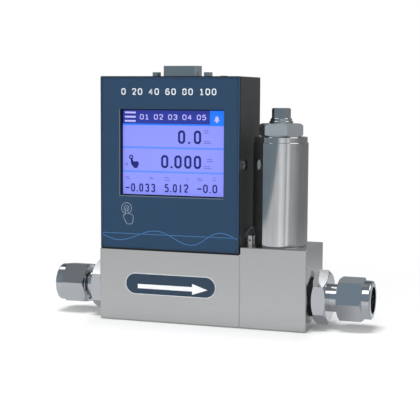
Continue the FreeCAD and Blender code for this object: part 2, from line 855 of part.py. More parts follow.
def make_back_ferrule(label):
    """The back ferrule: its nose sits in the front one and its flange against the nut."""
    start = f"({FERRULE_START} + front_ferrule_length)"
    return turned(label, "XZ", "H_Axis", [
        (f"{start} - 0.8", SOCKET),
        (start, f"{SOCKET} + 0.4"),
        (start, "front_ferrule_dia / 2 - 0.4"),
        (SHOULDER, "front_ferrule_dia / 2 - 0.4"),
        (SHOULDER, SOCKET),
    ])


def make_fittings():
    for side, where, turn in (("inlet", LEFT, HALF_TURN), ("outlet", RIGHT, None)):
        pieces = [
            make_fitting_body(f"{side}_fitting"),
            make_fitting_nut(f"{side}_nut", f"{side}_nut_turn"),
            make_front_ferrule(f"{side}_front_ferrule"),
            make_back_ferrule(f"{side}_back_ferrule"),
        ]
        for piece in pieces:
            place(piece, where, "0", "axis_height", turn)
    seals = [
        ring("InletSeal", "port_dia / 2 + seal_width", "port_dia / 2 + thread_gap", "seal_thick",
             f"{LEFT} - seal_thick", "0", "axis_height", ALONG_X),
        ring("OutletSeal", "port_dia / 2 + seal_width", "port_dia / 2 + thread_gap", "seal_thick",
             RIGHT, "0", "axis_height", ALONG_X),
    ]
    group("port_seals", seals)


# Thermal sensor

def make_sensor():
    body = new_body("sensor_base")
    add(body, rectangle(new_sketch(body, "XY"), "sensor_base_length", "sensor_base_depth", rounding="2"),
        "sensor_base_height")
    legs = [(f"{side} * tap_spacing / 2", "0", "capillary_dia + 2 * slide_gap") for side in (-1, 1)]
    pocket(body, circles(new_sketch(body, "XY", "sensor_base_height"), legs), "sensor_base_height")
    holes = [(f"{side} * sensor_screw_spacing / 2", "0", "screw_hole_dia") for side in (-1, 1)]
    pocket(body, circles(new_sketch(body, "XY", "sensor_base_height"), holes), "sensor_base_height")
    place(body, SENSOR_X, "0", "sensor_height")
    keep("sensor_base", body)

    seals = [ring(f"TapSeal{number}", "tap_seal_dia / 2", "tap_seal_bore / 2", "tap_seal_depth",
                  f"{SENSOR_X} + {side} * tap_spacing / 2", "0", "sensor_height - tap_seal_depth")
             for number, side in enumerate((-1, 1), start=1)]
    group("sensor_seals", seals)

    make_capillary()
    top = "(sensor_height + capillary_rise)"
    windings = [ring(f"Winding{number}", "winding_dia / 2", "capillary_dia / 2", "winding_length",
                     f"{SENSOR_X} + {side} * winding_spacing / 2 - winding_length / 2", "0", top, ALONG_X)
                for number, side in enumerate((-1, 1), start=1)]
    group("sensor_windings", windings)

    can = new_body("sensor_cover")
    add(can, rectangle(new_sketch(can, "XY"), "sensor_can_length", "sensor_base_depth - 2", rounding="2.5"),
        "sensor_can_height")
    inside = rectangle(new_sketch(can, "XY"), "sensor_can_length - 2 * sensor_can_wall",
                       "sensor_base_depth - 2 - 2 * sensor_can_wall", rounding="1.5")
    pocket(can, inside, "sensor_can_height - sensor_can_wall", flip=True)
    place(can, SENSOR_X, "0", "sensor_height + sensor_base_height")
    keep("sensor_cover", can)

    group("sensor_screws", [
        small_screw(f"SensorScrew{number}", "screw_grip + sensor_base_height",
                    f"{SENSOR_X} + {side} * sensor_screw_spacing / 2", "0",
                    "sensor_height + sensor_base_height")
        for number, side in enumerate((-1, 1), start=1)])


def make_capillary():
    """The sensor tube: up one leg, across the top and down the other, in one sweep."""
    body = new_body("capillary_tube")
    path = outline(new_sketch(body, "XZ"), [
        ("-tap_spacing / 2", "0"),
        ("-tap_spacing / 2", "capillary_rise", "capillary_bend"),
        ("tap_spacing / 2", "capillary_rise", "capillary_bend"),
        ("tap_spacing / 2", "0"),
    ], closed=False)
    section = circles(new_sketch(body, "XY"), [("-tap_spacing / 2", "0", "capillary_dia"),
                                              ("-tap_spacing / 2", "0", "capillary_bore")])
    doc.recompute()
    sweep = body.newObject("PartDesign::AdditivePipe", "Tube")
    sweep.Profile = section
    sweep.Spine = (path, [f"Edge{number}" for number in range(1, 6)])
    doc.recompute()
    place(body, SENSOR_X, "0", "sensor_height")
    keep("capillary_tube", body)


# Housing

def lead_line():
    """The lead's three route points, from inside the housing to inside the coil."""
    angle = math.radians(value("lead_entry_turn"))
    radius = value("coil_dia / 2")
    exit_point = Vector(value(HOUSING_RIGHT), value("lead_exit_deep"),
                        value("sensor_height + lead_exit_height"))
    entry = Vector(value(COIL_X) - radius * math.cos(angle), -radius * math.sin(angle),
                   value("valve_height + lead_entry_height"))
    inwards = Vector(math.cos(angle), math.sin(angle), 0)
    bend = Vector(entry.x - 1.2 * inwards.x, entry.y - 1.2 * inwards.y, entry.z - 0.6)
    start_way = (bend - exit_point).normalize()
    end_way = (entry - bend).normalize()
    start = exit_point - start_way * value("lead_inside")
    stop = entry + end_way * value("lead_inside")
    return start, bend, stop


def lead_cutter(name, start, stop):
    """A straight round bar a little thicker than the lead, between two points."""
    way = stop - start
    bar = doc.addObject("Part::Cylinder", name)
    bind(bar, Radius="lead_dia / 2 + lead_gap")
    bar.Height = way.Length
    bar.Placement = Placement(start, Rotation(Vector(0, 0, 1), way))
    return bar


def make_housing_shell():
    """A box of thin sheet, open at the front, with its cut-outs."""
    body = new_body("housing_box")
    add(body, rectangle(new_sketch(body, "XZ"), HOUSING_WIDTH, "housing_height", v="housing_height / 2",
                        rounding="housing_corner"), "base_depth", flip=True)
    inside = rectangle(new_sketch(body, "XZ"), HOUSING_INSIDE, "housing_height - 2 * housing_wall",
                       v="housing_height / 2")
    pocket(body, inside, "base_depth - housing_wall")
    middle = "base_depth / 2"
    opening = rectangle(new_sketch(body, "XY"), "sensor_base_length + 2 * sensor_opening_gap",
                        "sensor_base_depth + 2 * sensor_opening_gap", v=middle)
    pocket(body, opening, "housing_wall", flip=True)
    feet = [(f"{wide} * cover_screw_spacing_wide / 2", f"{middle} + {deep} * cover_screw_spacing_deep / 2",
             "screw_hole_dia") for wide in (-1, 1) for deep in (-1, 1)]
    pocket(body, circles(new_sketch(body, "XY"), feet), "housing_wall", flip=True)
    side_hole = [("side_screw_setback", "side_screw_height", "screw_hole_dia")]
    pocket(body, circles(new_sketch(body, "YZ", f"-{HOUSING_WIDTH} / 2"), side_hole), HOUSING_WIDTH, flip=True)
    top_holes = [(f"connector_offset + {side} * jack_spacing / 2", middle, "jack_thread_dia + 0.3")
                 for side in (-1, 1)]
    top_holes.append(("trim_offset", middle, "trim_stem_dia + 2 * slide_gap"))
    pocket(body, circles(new_sketch(body, "XY", "housing_height"), top_holes), "housing_wall")
    cut_plug = plug_outline(new_sketch(body, "XY", "housing_height"), "plug_gap", "connector_offset", middle)
    pocket(body, cut_plug, "housing_wall")
    place(body, SENSOR_X, FRONT, "sensor_height")
    start, bend, _ = lead_line()
    keep("housing_shell", cut("HousingShell", body, lead_cutter("HousingLeadHole", start, bend)))


def make_front():
    """The blue front panel, and the black chassis behind it whose tabs take the side screws."""
    width = f"({HOUSING_INSIDE} - 2 * panel_gap)"
    tall = "(housing_height - 2 * housing_wall - 2 * panel_gap)"
    panel = new_body("front_panel")
    face = rectangle(new_sketch(panel, "XZ"), width, tall, v="housing_height / 2", rounding="panel_corner")
    rectangle(face, "window_width", "window_height", "window_offset", "window_mid_height", "window_corner")
    add(panel, face, "panel_thick", flip=True)
    place(panel, SENSOR_X, FRONT, "sensor_height")
    keep("front_panel", panel)

    chassis = new_body("front_chassis")
    plate = rectangle(new_sketch(chassis, "XZ"), width, tall, v="housing_height / 2")
    rectangle(plate, "window_width", "window_height", "window_offset", "window_mid_height", "window_corner")
    add(chassis, plate, "chassis_thick", flip=True)
    for side in (-1, 1):
        tab = rectangle(new_sketch(chassis, "XZ", "-chassis_thick"), "tab_thick", "tab_height",
                        f"{side} * ({width} - tab_thick) / 2", "side_screw_height")
        add(chassis, tab, "tab_reach", flip=True)
    hole = circles(new_sketch(chassis, "YZ", f"-{width} / 2"),
                   [("side_screw_setback - panel_thick", "side_screw_height", "screw_dia")])
    pocket(chassis, hole, width, flip=True)
    place(chassis, SENSOR_X, f"{FRONT} + panel_thick", "sensor_height")
    keep("front_chassis", chassis)


def corner_spots(wide, tall):
    """The four places of a board's posts, measured in from its corners."""
    return [(f"{side} * ({wide} / 2 - post_edge)", f"{end} * ({tall} / 2 - post_edge)")
            for side in (-1, 1) for end in (-1, 1)]


def make_display():
    """The display: a cell of glass in a folded frame, its board, and the posts that hold the board."""
    frame = new_body("display_frame")
    outer = ("(glass_width + 2 * display_frame_rim)", "(glass_height + 2 * display_frame_rim)")
    add(frame, rectangle(new_sketch(frame, "XZ"), *outer, rounding="1"), "display_depth", flip=True)
    seat = rectangle(new_sketch(frame, "XZ"), "glass_width + 2 * glass_gap", "glass_height + 2 * glass_gap")
    pocket(frame, seat, "glass_thick")
    place(frame, WINDOW_X, f"{FRONT} + {DISPLAY_FACE}", WINDOW_Z)
    keep("display_frame", frame)

    glass = new_body("display_glass")
    add(glass, rectangle(new_sketch(glass, "XZ"), "glass_width", "glass_height"), "glass_thick", flip=True)
    place(glass, WINDOW_X, f"{FRONT} + {DISPLAY_FACE}", WINDOW_Z)
    keep("display_glass", glass)

    board = new_body("display_board")
    extent = (f"({outer[0]} + 2 * display_board_side)", f"({outer[1]} + 2 * display_board_margin)")
    add(board, rectangle(new_sketch(board, "XZ"), *extent, rounding="2"), "board_thick", flip=True)
    spots = corner_spots(*extent)
    pocket(board, circles(new_sketch(board, "XZ"), [(*spot, "screw_hole_dia") for spot in spots]),
           "board_thick")
    place(board, WINDOW_X, f"{FRONT} + {DISPLAY_BACK}", WINDOW_Z)
    keep("display_board", board)

    group("display_posts", [
        post(f"DisplayPost{number}", "display_depth", f"{WINDOW_X} + {wide}",
             f"{FRONT} + {DISPLAY_BACK}", f"{WINDOW_Z} + {tall}", Rotation(Vector(1, 0, 0), 90))
        for number, (wide, tall) in enumerate(spots, start=1)])
    group("display_screws", [
        small_screw(f"DisplayScrew{number}", "board_thick + post_bore - 0.5", f"{WINDOW_X} + {wide}",
                    f"{FRONT} + {DISPLAY_BACK} + board_thick", f"{WINDOW_Z} + {tall}", ALONG_Y)
        for number, (wide, tall) in enumerate(spots, start=1)])


def make_main_board():
    """The main board on posts from the back wall, with the larger things soldered to its front."""
    middle = "(sensor_height + housing_wall + main_board_lift + main_board_height / 2)"
    face = f"({MAIN_BOARD_Y} - board_thick)"
    board = new_body("main_board")
    extent = ("main_board_width", "main_board_height")
    add(board, rectangle(new_sketch(board, "XZ"), *extent, rounding="2"), "board_thick", flip=True)
    spots = corner_spots(*extent)
    pocket(board, circles(new_sketch(board, "XZ"), [(*spot, "screw_hole_dia") for spot in spots]),
           "board_thick")
    place(board, SENSOR_X, face, middle)
    keep("main_board", board)

    group("main_board_posts", [
        post(f"MainPost{number}", "main_board_setback", f"{SENSOR_X} + {wide}",
             MAIN_BOARD_Y, f"{middle} + {tall}", ALONG_Y)
        for number, (wide, tall) in enumerate(spots, start=1)])
    group("main_board_screws", [
        small_screw(f"MainScrew{number}", "board_thick + post_bore - 0.5", f"{SENSOR_X} + {wide}", face,
                    f"{middle} + {tall}", Rotation(Vector(1, 0, 0), 90))
        for number, (wide, tall) in enumerate(spots, start=1)])

    chips = [("Processor", "processor_width", "processor_width", 4, 6),
             ("AmplifierOne", "chip_width", "chip_width * 0.8", -9, 10),
             ("AmplifierTwo", "chip_width", "chip_width * 0.8", -9, 4),
             ("Driver", "chip_width * 1.3", "chip_width", 12, -5)]
    members = []
    for name, wide, tall, across, up in chips:
        chip = block(name, wide, "chip_thick", tall, f"{SENSOR_X} + {across} * board_grid",
                     f"{face} - chip_thick / 2", f"{middle} + {up} * board_grid - ({tall}) / 2")
        members.append(chip)
    for number, across in enumerate((-12, -7), start=1):
        members.append(cylinder(f"Capacitor{number}", "capacitor_dia / 2", "capacitor_height",
                                f"{SENSOR_X} + {across} * board_grid", face,
                                f"{middle} - 3 * board_grid", Rotation(Vector(1, 0, 0), 90)))
    members.append(block("Header", "header_length", "header_height", "header_width",
                         f"{SENSOR_X} + 4 * board_grid", f"{face} - header_height / 2",
                         f"{middle} - 6 * board_grid"))
    group("board_components", members)


def plug_outline(sketch, grow, u="0", v="0"):
    """The connector's D outline, grown by a margin on each side."""
    half = f"(plug_depth / 2 + {grow})"
    wide = f"(plug_width / 2 + {grow})"
    narrow = f"({wide} - 2 * {half} * tan(plug_slant))"
    return outline(sketch, [
        (f"{u} - {narrow}", f"{v} - {half}"),
        (f"{u} + {narrow}", f"{v} - {half}"),
        (f"{u} + {wide}", f"{v} + {half}"),
        (f"{u} - {wide}", f"{v} + {half}"),
    ])


def plug_prism(body, grow, length, lift="0"):
    """A D prism with rounded corners."""
    sketch = plug_outline(new_sketch(body, "XY", lift), grow)
    prism = add(body, sketch, length)
    bottom = value(lift)
    corners = edges_of(prism.Shape, lambda edge: straight_along(Vector(0, 0, 1))(edge)
                       and edge.BoundBox.ZMin > bottom - 1e-3 and edge.BoundBox.ZLength > 1)
    return dress(body, "Fillet", prism, corners, f"plug_corner + {grow}")


def make_connector():
    """A fifteen way D connector: its shell, its moulding, its tails and its jack screws."""
    rise = "(plug_rise + housing_wall + flange_thick)"
    inner = new_body("plug_inside")
    plug_prism(inner, "-plug_wall", f"{rise}")
    skin = new_body("plug_skin")
    plug_prism(skin, "0", rise)
    flange = new_body("plug_flange")
    add(flange, rectangle(new_sketch(flange, "XY"), "flange_width", "flange_depth", rounding="1"), "flange_thick")
    holes = circles(new_sketch(flange, "XY", "flange_thick"),
                    [(f"{side} * jack_spacing / 2", "0", "jack_thread_dia + 0.3") for side in (-1, 1)])
    pocket(flange, holes, "flange_thick")
    shell = cut("ConnectorShell", fuse("ConnectorSkin", [flange, skin]), inner)
    place(shell, CONNECTOR_X, "0", FLANGE_UNDERSIDE)
    keep("connector_shell", shell)

    core = new_body("connector_core")
    plug_prism(core, "-plug_wall - 0.02", f"{rise} - 0.3")
    back = new_body("connector_back")
    add(back, rectangle(new_sketch(back, "XY"), "plug_width - 1", "plug_depth + 1", rounding="1"),
        "plug_back_depth")
    place(back, "0", "0", "-plug_back_depth")
    spots = contact_spots()
    holes = [cylinder(f"ContactHole{number}", "contact_dia / 2", "contact_hole_depth", u, v,
                      f"{rise} - 0.3 - contact_hole_depth") for number, (u, v) in enumerate(spots, start=1)]
    moulding = cut("ConnectorInsert", fuse("InsertBlank", [core, back]), fuse("ContactHoles", holes))
    place(moulding, CONNECTOR_X, "0", FLANGE_UNDERSIDE)
    keep("connector_insert", moulding)

    group("connector_tails", [
        block(f"Tail{number}", "contact_dia", "contact_dia", "contact_tail", f"{CONNECTOR_X} + {u}", v,
              f"{FLANGE_UNDERSIDE} - plug_back_depth - contact_tail")
        for number, (u, v) in enumerate(spots, start=1)])

    screws, nuts = [], []
    for number, side in enumerate((-1, 1), start=1):
        x = f"{CONNECTOR_X} + {side} * jack_spacing / 2"
        head = hexagon_bar(f"JackHead{number}", "jack_flats", "jack_rise", z="0")
        shank = cylinder(f"JackShank{number}", "jack_thread_dia / 2",
                         "housing_wall + flange_thick + jack_nut_height + 0.5",
                         z="-(housing_wall + flange_thick + jack_nut_height + 0.5)")
        bore = cylinder(f"JackBore{number}", "jack_bore_dia / 2", "jack_rise + 2", z="-2")
        jack = cut(f"JackScrew{number}", fuse(f"JackBlank{number}", [head, shank]), bore)
        place(jack, x, "0", HOUSING_TOP)
        screws.append(jack)
        nut = cut(f"JackNut{number}", hexagon_bar(f"JackNutHex{number}", "jack_flats", "jack_nut_height"),
                  cylinder(f"JackNutBore{number}", "jack_thread_dia / 2 + thread_gap", "jack_nut_height"))
        place(nut, x, "0", f"{FLANGE_UNDERSIDE} - jack_nut_height")
        nuts.append(nut)
    group("jack_screws", screws)
    group("jack_nuts", nuts)


def contact_spots():
    """Eight contacts in the wide row and seven in the narrow one."""
    rows = ((8, "contact_row_gap / 2"), (7, "-contact_row_gap / 2"))
    return [(f"({number} - {(count - 1) / 2}) * contact_pitch", v)
            for count, v in rows for number in range(count)]


def make_trim_plug():
    head = cylinder("TrimHead", "trim_head_dia / 2", "trim_head_height")
    stem = cylinder("TrimStem", "trim_stem_dia / 2", "housing_wall + 0.5", z="-housing_wall - 0.5")
    plug = fuse("TrimPlug", [head, stem])
    place(plug, f"{SENSOR_X} + trim_offset", "0", HOUSING_TOP)
    keep("trim_plug", plug)


def make_housing_screws():
    group("cover_screws", [
        small_screw(f"CoverScrew{number}", "screw_grip + housing_wall",
                    f"{SENSOR_X} + {wide} * cover_screw_spacing_wide / 2",
                    f"{deep} * cover_screw_spacing_deep / 2", "sensor_height + housing_wall")
        for number, (wide, deep) in enumerate([(-1, -1), (1, -1), (-1, 1), (1, 1)], start=1)])
    sides = []
    for name, side, turn in (("SideScrewRight", 1, ALONG_X), ("SideScrewLeft", -1, ALONG_MINUS_X)):
        sides.append(small_screw(name, "housing_wall + panel_gap + tab_thick + 1",
                                 f"{SENSOR_X} + {side} * {HOUSING_WIDTH} / 2",
                                 f"{FRONT} + side_screw_setback", "sensor_height + side_screw_height", turn))
    group("side_screws", sides)


# Solenoid valve, turned about the coil's axis

def make_valve_seat():
    """The seat: a spigot in the block, a flange on the cavity floor and a raised nozzle."""
    upright("valve_seat", [
        ("orifice_dia / 2", "-seat_spigot_depth"),
        ("seat_spigot_dia / 2", "-seat_spigot_depth"),
        ("seat_spigot_dia / 2", "0"),
        ("seat_dia / 2", "0"),
        ("seat_dia / 2", "seat_step"),
        ("nozzle_dia / 2", "seat_height"),
        ("orifice_dia / 2", "seat_height"),
    ], z=CAVITY_FLOOR)


def make_stem():
    """The stem: a threaded flange in the cavity with a seal groove, and the thin tube above it."""
    flange = "(cavity_dia / 2 - thread_gap)"
    inner = f"({flange} - stem_seal_depth)"
    groove_low = "(-stem_flange_height + 1)"
    upright("valve_stem", [
        ("stem_bore / 2", "-stem_flange_height"),
        (flange, "-stem_flange_height"),
        (flange, groove_low),
        (inner, groove_low),
        (inner, f"{groove_low} + stem_seal_width"),
        (flange, f"{groove_low} + stem_seal_width"),
        (flange, "0"),
        ("stem_dia / 2", "0"),
        ("stem_dia / 2", "stem_height"),
        ("stem_bore / 2", "stem_height"),
    ], z="valve_height")
    keep("stem_seal", ring("StemSeal", "cavity_dia / 2", inner, "stem_seal_width", COIL_X, "0",
                           "valve_height - stem_flange_height + 1"))


def make_fixed_core():
    """The fixed core: a plug in the tube's top, a shoulder on its end and the stud for the nut."""
    low = f"({CORE_BOTTOM} - valve_height)"
    upright("fixed_core", [
        ("0", f"{low} + spring_recess"),
        ("spring_pocket_dia / 2", f"{low} + spring_recess"),
        ("spring_pocket_dia / 2", low),
        ("stem_bore / 2 - slide_gap", low),
        ("stem_bore / 2 - slide_gap", "stem_height"),
        ("stem_dia / 2", "stem_height"),
        ("stem_dia / 2", "coil_height - top_plate_spigot"),
        ("core_stud_dia / 2", "coil_height - top_plate_spigot"),
        ("core_stud_dia / 2", "core_stud_top - 0.8"),
        ("core_stud_dia / 2 - 0.8", "core_stud_top"),
        ("cap_shank_dia / 2 + thread_gap", "core_stud_top"),
        ("cap_shank_dia / 2 + thread_gap", "core_stud_top - cap_shank_length - 1"),
        ("0", "core_stud_top - cap_shank_length - 2.5"),
    ], z="valve_height")


def make_plunger():
    """The plunger: a bar with a spring pocket on top, a seal pocket below and two flow slots."""
    radius = "(stem_bore / 2 - plunger_gap)"
    body = new_body("plunger")
    revolve(body, outline(new_sketch(body, "XZ"), [
        ("0", "seal_disc_thick"),
        ("seal_disc_dia / 2", "seal_disc_thick"),
        ("seal_disc_dia / 2", "0"),
        (f"{radius} - 0.5", "0"),
        (radius, "0.5"),
        (radius, "plunger_length"),
        ("spring_pocket_dia / 2", "plunger_length"),
        ("spring_pocket_dia / 2", "plunger_length - spring_pocket_depth"),
        ("0", "plunger_length - spring_pocket_depth"),
    ]), "V_Axis")
    slot = rectangle(new_sketch(body, "XY", "plunger_length"), "stem_bore", "plunger_slot_width",
                     u=f"{radius} - 0.8 + stem_bore / 2")
    cut_slot = pocket(body, slot, "plunger_length - 2 * seal_disc_thick")
    pattern_round(body, cut_slot, slot, "N_Axis", "2")
    place(body, COIL_X, "0", PLUNGER_BOTTOM)
    keep("plunger", body)
    keep("plunger_seal", cylinder("PlungerSeal", "seal_disc_dia / 2", "seal_disc_thick", COIL_X, "0",
                                  PLUNGER_BOTTOM))


def make_spring():
    """The return spring: a helix of wire between the plunger's pocket and the fixed core's recess.

    The route has twelve points a turn, and the wire's section is a hexagon of the round wire's area.
    """
    room = value("spring_pocket_depth + plunger_travel + residual_gap + spring_recess")
    wire = value("spring_wire")
    radius = value("(spring_dia - spring_wire) / 2")
    steps = int(value("spring_turns")) * SPRING_POINTS
    rise = (room - wire) / steps
    angles = [2 * math.pi * step / SPRING_POINTS for step in range(steps + 1)]
    route = [Vector(radius * math.cos(angle), radius * math.sin(angle), rise * step)
             for step, angle in enumerate(angles)]
    way = (route[1] - route[0]).normalize()
    side = way.cross(Vector(1, 0, 0)).normalize()
    out = side.cross(way)
    reach = wire / 2 * math.sqrt(2 * math.pi / (3 * math.sqrt(3)))
    corners = [route[0] + (out * math.cos(angle) + side * math.sin(angle)) * reach
               for angle in (math.radians(60 * number) for number in range(7))]
    spring = doc.addObject("Part::Feature", "ReturnSpring")
    spring.Shape = Part.makePolygon(route).makePipeShell([Part.makePolygon(corners)], True, True, 1)
    place(spring, COIL_X, "0", f"{PLUNGER_TOP} - spring_pocket_depth + spring_wire / 2")
    keep("return_spring", spring)


def make_coil():
    """The coil: bottom plate, bobbin, winding, the round housing and the plate that closes it."""
    keep("coil_bottom_plate", ring("CoilBottomPlate", f"{COIL_BORE} - coil_fit", "stem_dia / 2 + bobbin_gap",
                                   "coil_bottom_thick", COIL_X, "0", "valve_height"))
    sleeve = "(stem_dia / 2 + bobbin_gap + bobbin_wall)"
    flange = f"({COIL_BORE} - 2 * coil_fit)"
    top = "(coil_height - top_plate_spigot)"
    upright("coil_bobbin", [
        ("stem_dia / 2 + bobbin_gap", "coil_bottom_thick"),
        (flange, "coil_bottom_thick"),
        (flange, "coil_bottom_thick + bobbin_flange"),
        (sleeve, "coil_bottom_thick + bobbin_flange"),
        (sleeve, f"{top} - bobbin_flange"),
        (flange, f"{top} - bobbin_flange"),
        (flange, top),
        ("stem_dia / 2 + bobbin_gap", top),
    ], z="valve_height")
    keep("coil_winding", ring("CoilWinding", f"{flange} - winding_gap", sleeve,
                              "coil_height - top_plate_spigot - coil_bottom_thick - 2 * bobbin_flange",
                              COIL_X, "0", "valve_height + coil_bottom_thick + bobbin_flange"))
    tube = upright("coil_tube", [
        (COIL_BORE, "0"),
        ("coil_dia / 2 - coil_edge", "0"),
        ("coil_dia / 2", "coil_edge"),
        ("coil_dia / 2", "coil_height - coil_edge / 2"),
        ("coil_dia / 2 - coil_edge / 2", "coil_height"),
        (COIL_BORE, "coil_height"),
    ], z="valve_height")
    del parts["coil_tube"]
    _, bend, stop = lead_line()
    keep("coil_housing", cut("CoilHousing", tube, lead_cutter("CoilLeadHole", bend, stop)))
    upright("coil_top_plate", [
        ("core_stud_dia / 2 + thread_gap", "-top_plate_spigot"),
        (f"{COIL_BORE} - coil_fit", "-top_plate_spigot"),
        (f"{COIL_BORE} - coil_fit", "0"),
        ("top_plate_dia / 2", "0"),
        ("top_plate_dia / 2", "top_plate_rise - 0.3"),
        ("top_plate_dia / 2 - 0.3", "top_plate_rise"),
        ("core_stud_dia / 2 + thread_gap", "top_plate_rise"),
    ], z=COIL_TOP)


def upright_bevel(sketch, end, flats, way):
    """The profile that bevels an upright hexagon's end: way is 1 at the top."""
    far = f"({flats}) * 0.6"
    near = f"({flats}) / 2 * 0.985"
    return outline(sketch, [
        (near, end),
        (far, f"{end} - {way} * (({far}) - {near}) * tan(hex_bevel)"),
        (far, f"{end} + {way} * 0.01"),
    ])


def make_coil_nut():
    body = new_body("coil_nut")
    add(body, hexagon(new_sketch(body, "XY"), "coil_nut_flats"), "coil_nut_height")
    for end, way in (("0", -1), ("coil_nut_height", 1)):
        groove(body, upright_bevel(new_sketch(body, "XZ"), end, "coil_nut_flats", way), "V_Axis")
    hole = circles(new_sketch(body, "XY"), [("0", "0", "core_stud_dia + 2 * thread_gap")])
    pocket(body, hole, "coil_nut_height", flip=True)
    place(body, COIL_X, "0", PLATE_TOP)
    keep("coil_nut", body)


def make_stem_cap():
    """The cap: a shank in the stud, two round collars and a small hexagon."""
    body = new_body("stem_cap")
    collars = "(cap_low_height + cap_high_height)"
    revolve(body, outline(new_sketch(body, "XZ"), [
        ("0", f"{STUD_TOP} - {NUT_TOP} - cap_shank_length"),
        ("cap_shank_dia / 2", f"{STUD_TOP} - {NUT_TOP} - cap_shank_length"),
        ("cap_shank_dia / 2", "0"),
        ("cap_low_dia / 2", "0"),
        ("cap_low_dia / 2", "cap_low_height - 0.3"),
        ("cap_low_dia / 2 - 0.3", "cap_low_height"),
        ("cap_high_dia / 2", "cap_low_height"),
        ("cap_high_dia / 2", f"{collars} - 0.3"),
        ("cap_high_dia / 2 - 0.3", collars),
        ("0", collars),
    ]), "V_Axis")
    add(body, hexagon(new_sketch(body, "XY", collars), "cap_flats"), "cap_hex_height")
    groove(body, upright_bevel(new_sketch(body, "XZ"), f"{collars} + cap_hex_height", "cap_flats", 1), "V_Axis")
    place(body, COIL_X, "0", NUT_TOP)
    keep("stem_cap", body)


def make_lead():
    """The coil's lead: two straight runs and one arc, swept as a round bar, and the tab beside it."""
    start, bend, stop = lead_line()
    first = (bend - start).normalize()
    second = (stop - bend).normalize()
    half_turn = first.getAngle(second) / 2
    reach = value("lead_bend") * math.tan(half_turn)
    arc_start = bend - first * reach
    arc_stop = bend + second * reach
    centre_way = (second - first).normalize()
    middle = bend + centre_way * (value("lead_bend") * (1 / math.cos(half_turn) - 1))
    path = Part.Wire([
        Part.LineSegment(start, arc_start).toShape(),
        Part.Arc(arc_start, middle, arc_stop).toShape(),
        Part.LineSegment(arc_stop, stop).toShape(),
    ])
    section = Part.Wire(Part.Circle(start, first, value("lead_dia / 2")).toShape())
    lead = doc.addObject("Part::Feature", "CoilLead")
    lead.Shape = path.makePipeShell([section], True, True)
    keep("coil_lead", lead)

    tab = block("ClipTab", "clip_width", "clip_thick", "clip_height",
                f"{HOUSING_RIGHT} + clip_side_gap + clip_width / 2", "clip_deep", "valve_height")
    hole = cylinder("ClipHole", "clip_hole_dia / 2", "clip_thick + 2",
                    f"{HOUSING_RIGHT} + clip_side_gap + clip_width * 0.42", "clip_deep - clip_thick / 2 - 1",
                    "valve_height + clip_height / 2", ALONG_Y)
    keep("lead_clip", cut("LeadClip", tab, hole))


def make_flow_label():
    body = new_body("flow_label")
    add(body, rectangle(new_sketch(body, "XZ"), "label_width", "label_height", rounding="label_round"),
        "label_thick")
    place(body, f"{SENSOR_X} + label_offset", FRONT, "label_mid_height")
    keep("flow_label", body)


for make in (make_sensor_block, make_valve_block, make_tie_screws, make_seam_seal, make_flow_element,
             make_inlet_filter, make_fittings, make_sensor, make_housing_shell, make_front, make_display,
             make_main_board, make_connector, make_trim_plug, make_housing_screws, make_valve_seat,
             make_stem, make_fixed_core, make_plunger, make_spring, make_coil, make_coil_nut,
             make_stem_cap, make_lead, make_flow_label):
    make()
    doc.recompute()

for thing in doc.Objects:
    if "Invalid" in thing.State or "Error" in thing.State:
        raise RuntimeError(f"{thing.Label}: {thing.State}")
os.makedirs("parts", exist_ok=True)
for label, thing in parts.items():
    shape = thing.Shape
    if shape.isNull() or not shape.isValid() or not shape.Solids:
        raise RuntimeError(f"{label}: no valid solid")
    shape.exportStep(f"parts/{label}.step")
    print(f"{label}: {len(shape.Solids)} solid, {shape.Volume:.1f} mm3")
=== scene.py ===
# %% [markdown]
# # A gas mass flow meter, dressed for its photograph
# The CAD model gives every solid of the meter. This lesson puts finishes on those solids,
# adds what is printed or lit on them, and builds a small studio around them. Lengths are
# metres, X runs from the inlet to the outlet, Y from the front to the back and Z upwards.
# Prints are laid out in millimetres and become metres in their meshes.

# %% Load the frame
import json
import math

import bpy
import numpy as np
from mathutils import Matrix, Vector


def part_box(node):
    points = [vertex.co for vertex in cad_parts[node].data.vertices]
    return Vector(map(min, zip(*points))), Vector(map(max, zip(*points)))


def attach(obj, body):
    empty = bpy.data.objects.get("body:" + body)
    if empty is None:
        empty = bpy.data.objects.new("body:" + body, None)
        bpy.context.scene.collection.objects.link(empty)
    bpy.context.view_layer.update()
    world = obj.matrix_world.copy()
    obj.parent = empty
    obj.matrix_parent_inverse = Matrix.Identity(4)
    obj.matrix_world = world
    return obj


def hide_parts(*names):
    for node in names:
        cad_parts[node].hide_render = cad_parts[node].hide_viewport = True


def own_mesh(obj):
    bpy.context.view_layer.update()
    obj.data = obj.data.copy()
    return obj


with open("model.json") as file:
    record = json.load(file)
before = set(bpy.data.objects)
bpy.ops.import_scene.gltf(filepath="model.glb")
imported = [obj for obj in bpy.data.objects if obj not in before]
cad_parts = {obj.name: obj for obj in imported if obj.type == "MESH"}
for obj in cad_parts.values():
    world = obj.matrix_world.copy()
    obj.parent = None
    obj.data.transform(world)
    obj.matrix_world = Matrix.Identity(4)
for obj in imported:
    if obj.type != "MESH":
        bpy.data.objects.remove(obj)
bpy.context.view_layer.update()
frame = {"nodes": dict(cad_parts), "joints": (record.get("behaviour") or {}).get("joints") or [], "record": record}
nodes = frame["nodes"]

# %% [markdown]
# ## Shader maths
# A finish is mostly arithmetic on noise: "a little rougher where it is worn". Clicking Math
# nodes together for that is slow to write and to read. A small class lets Python's own
# operators add the nodes, so the finishes below read as formulas.

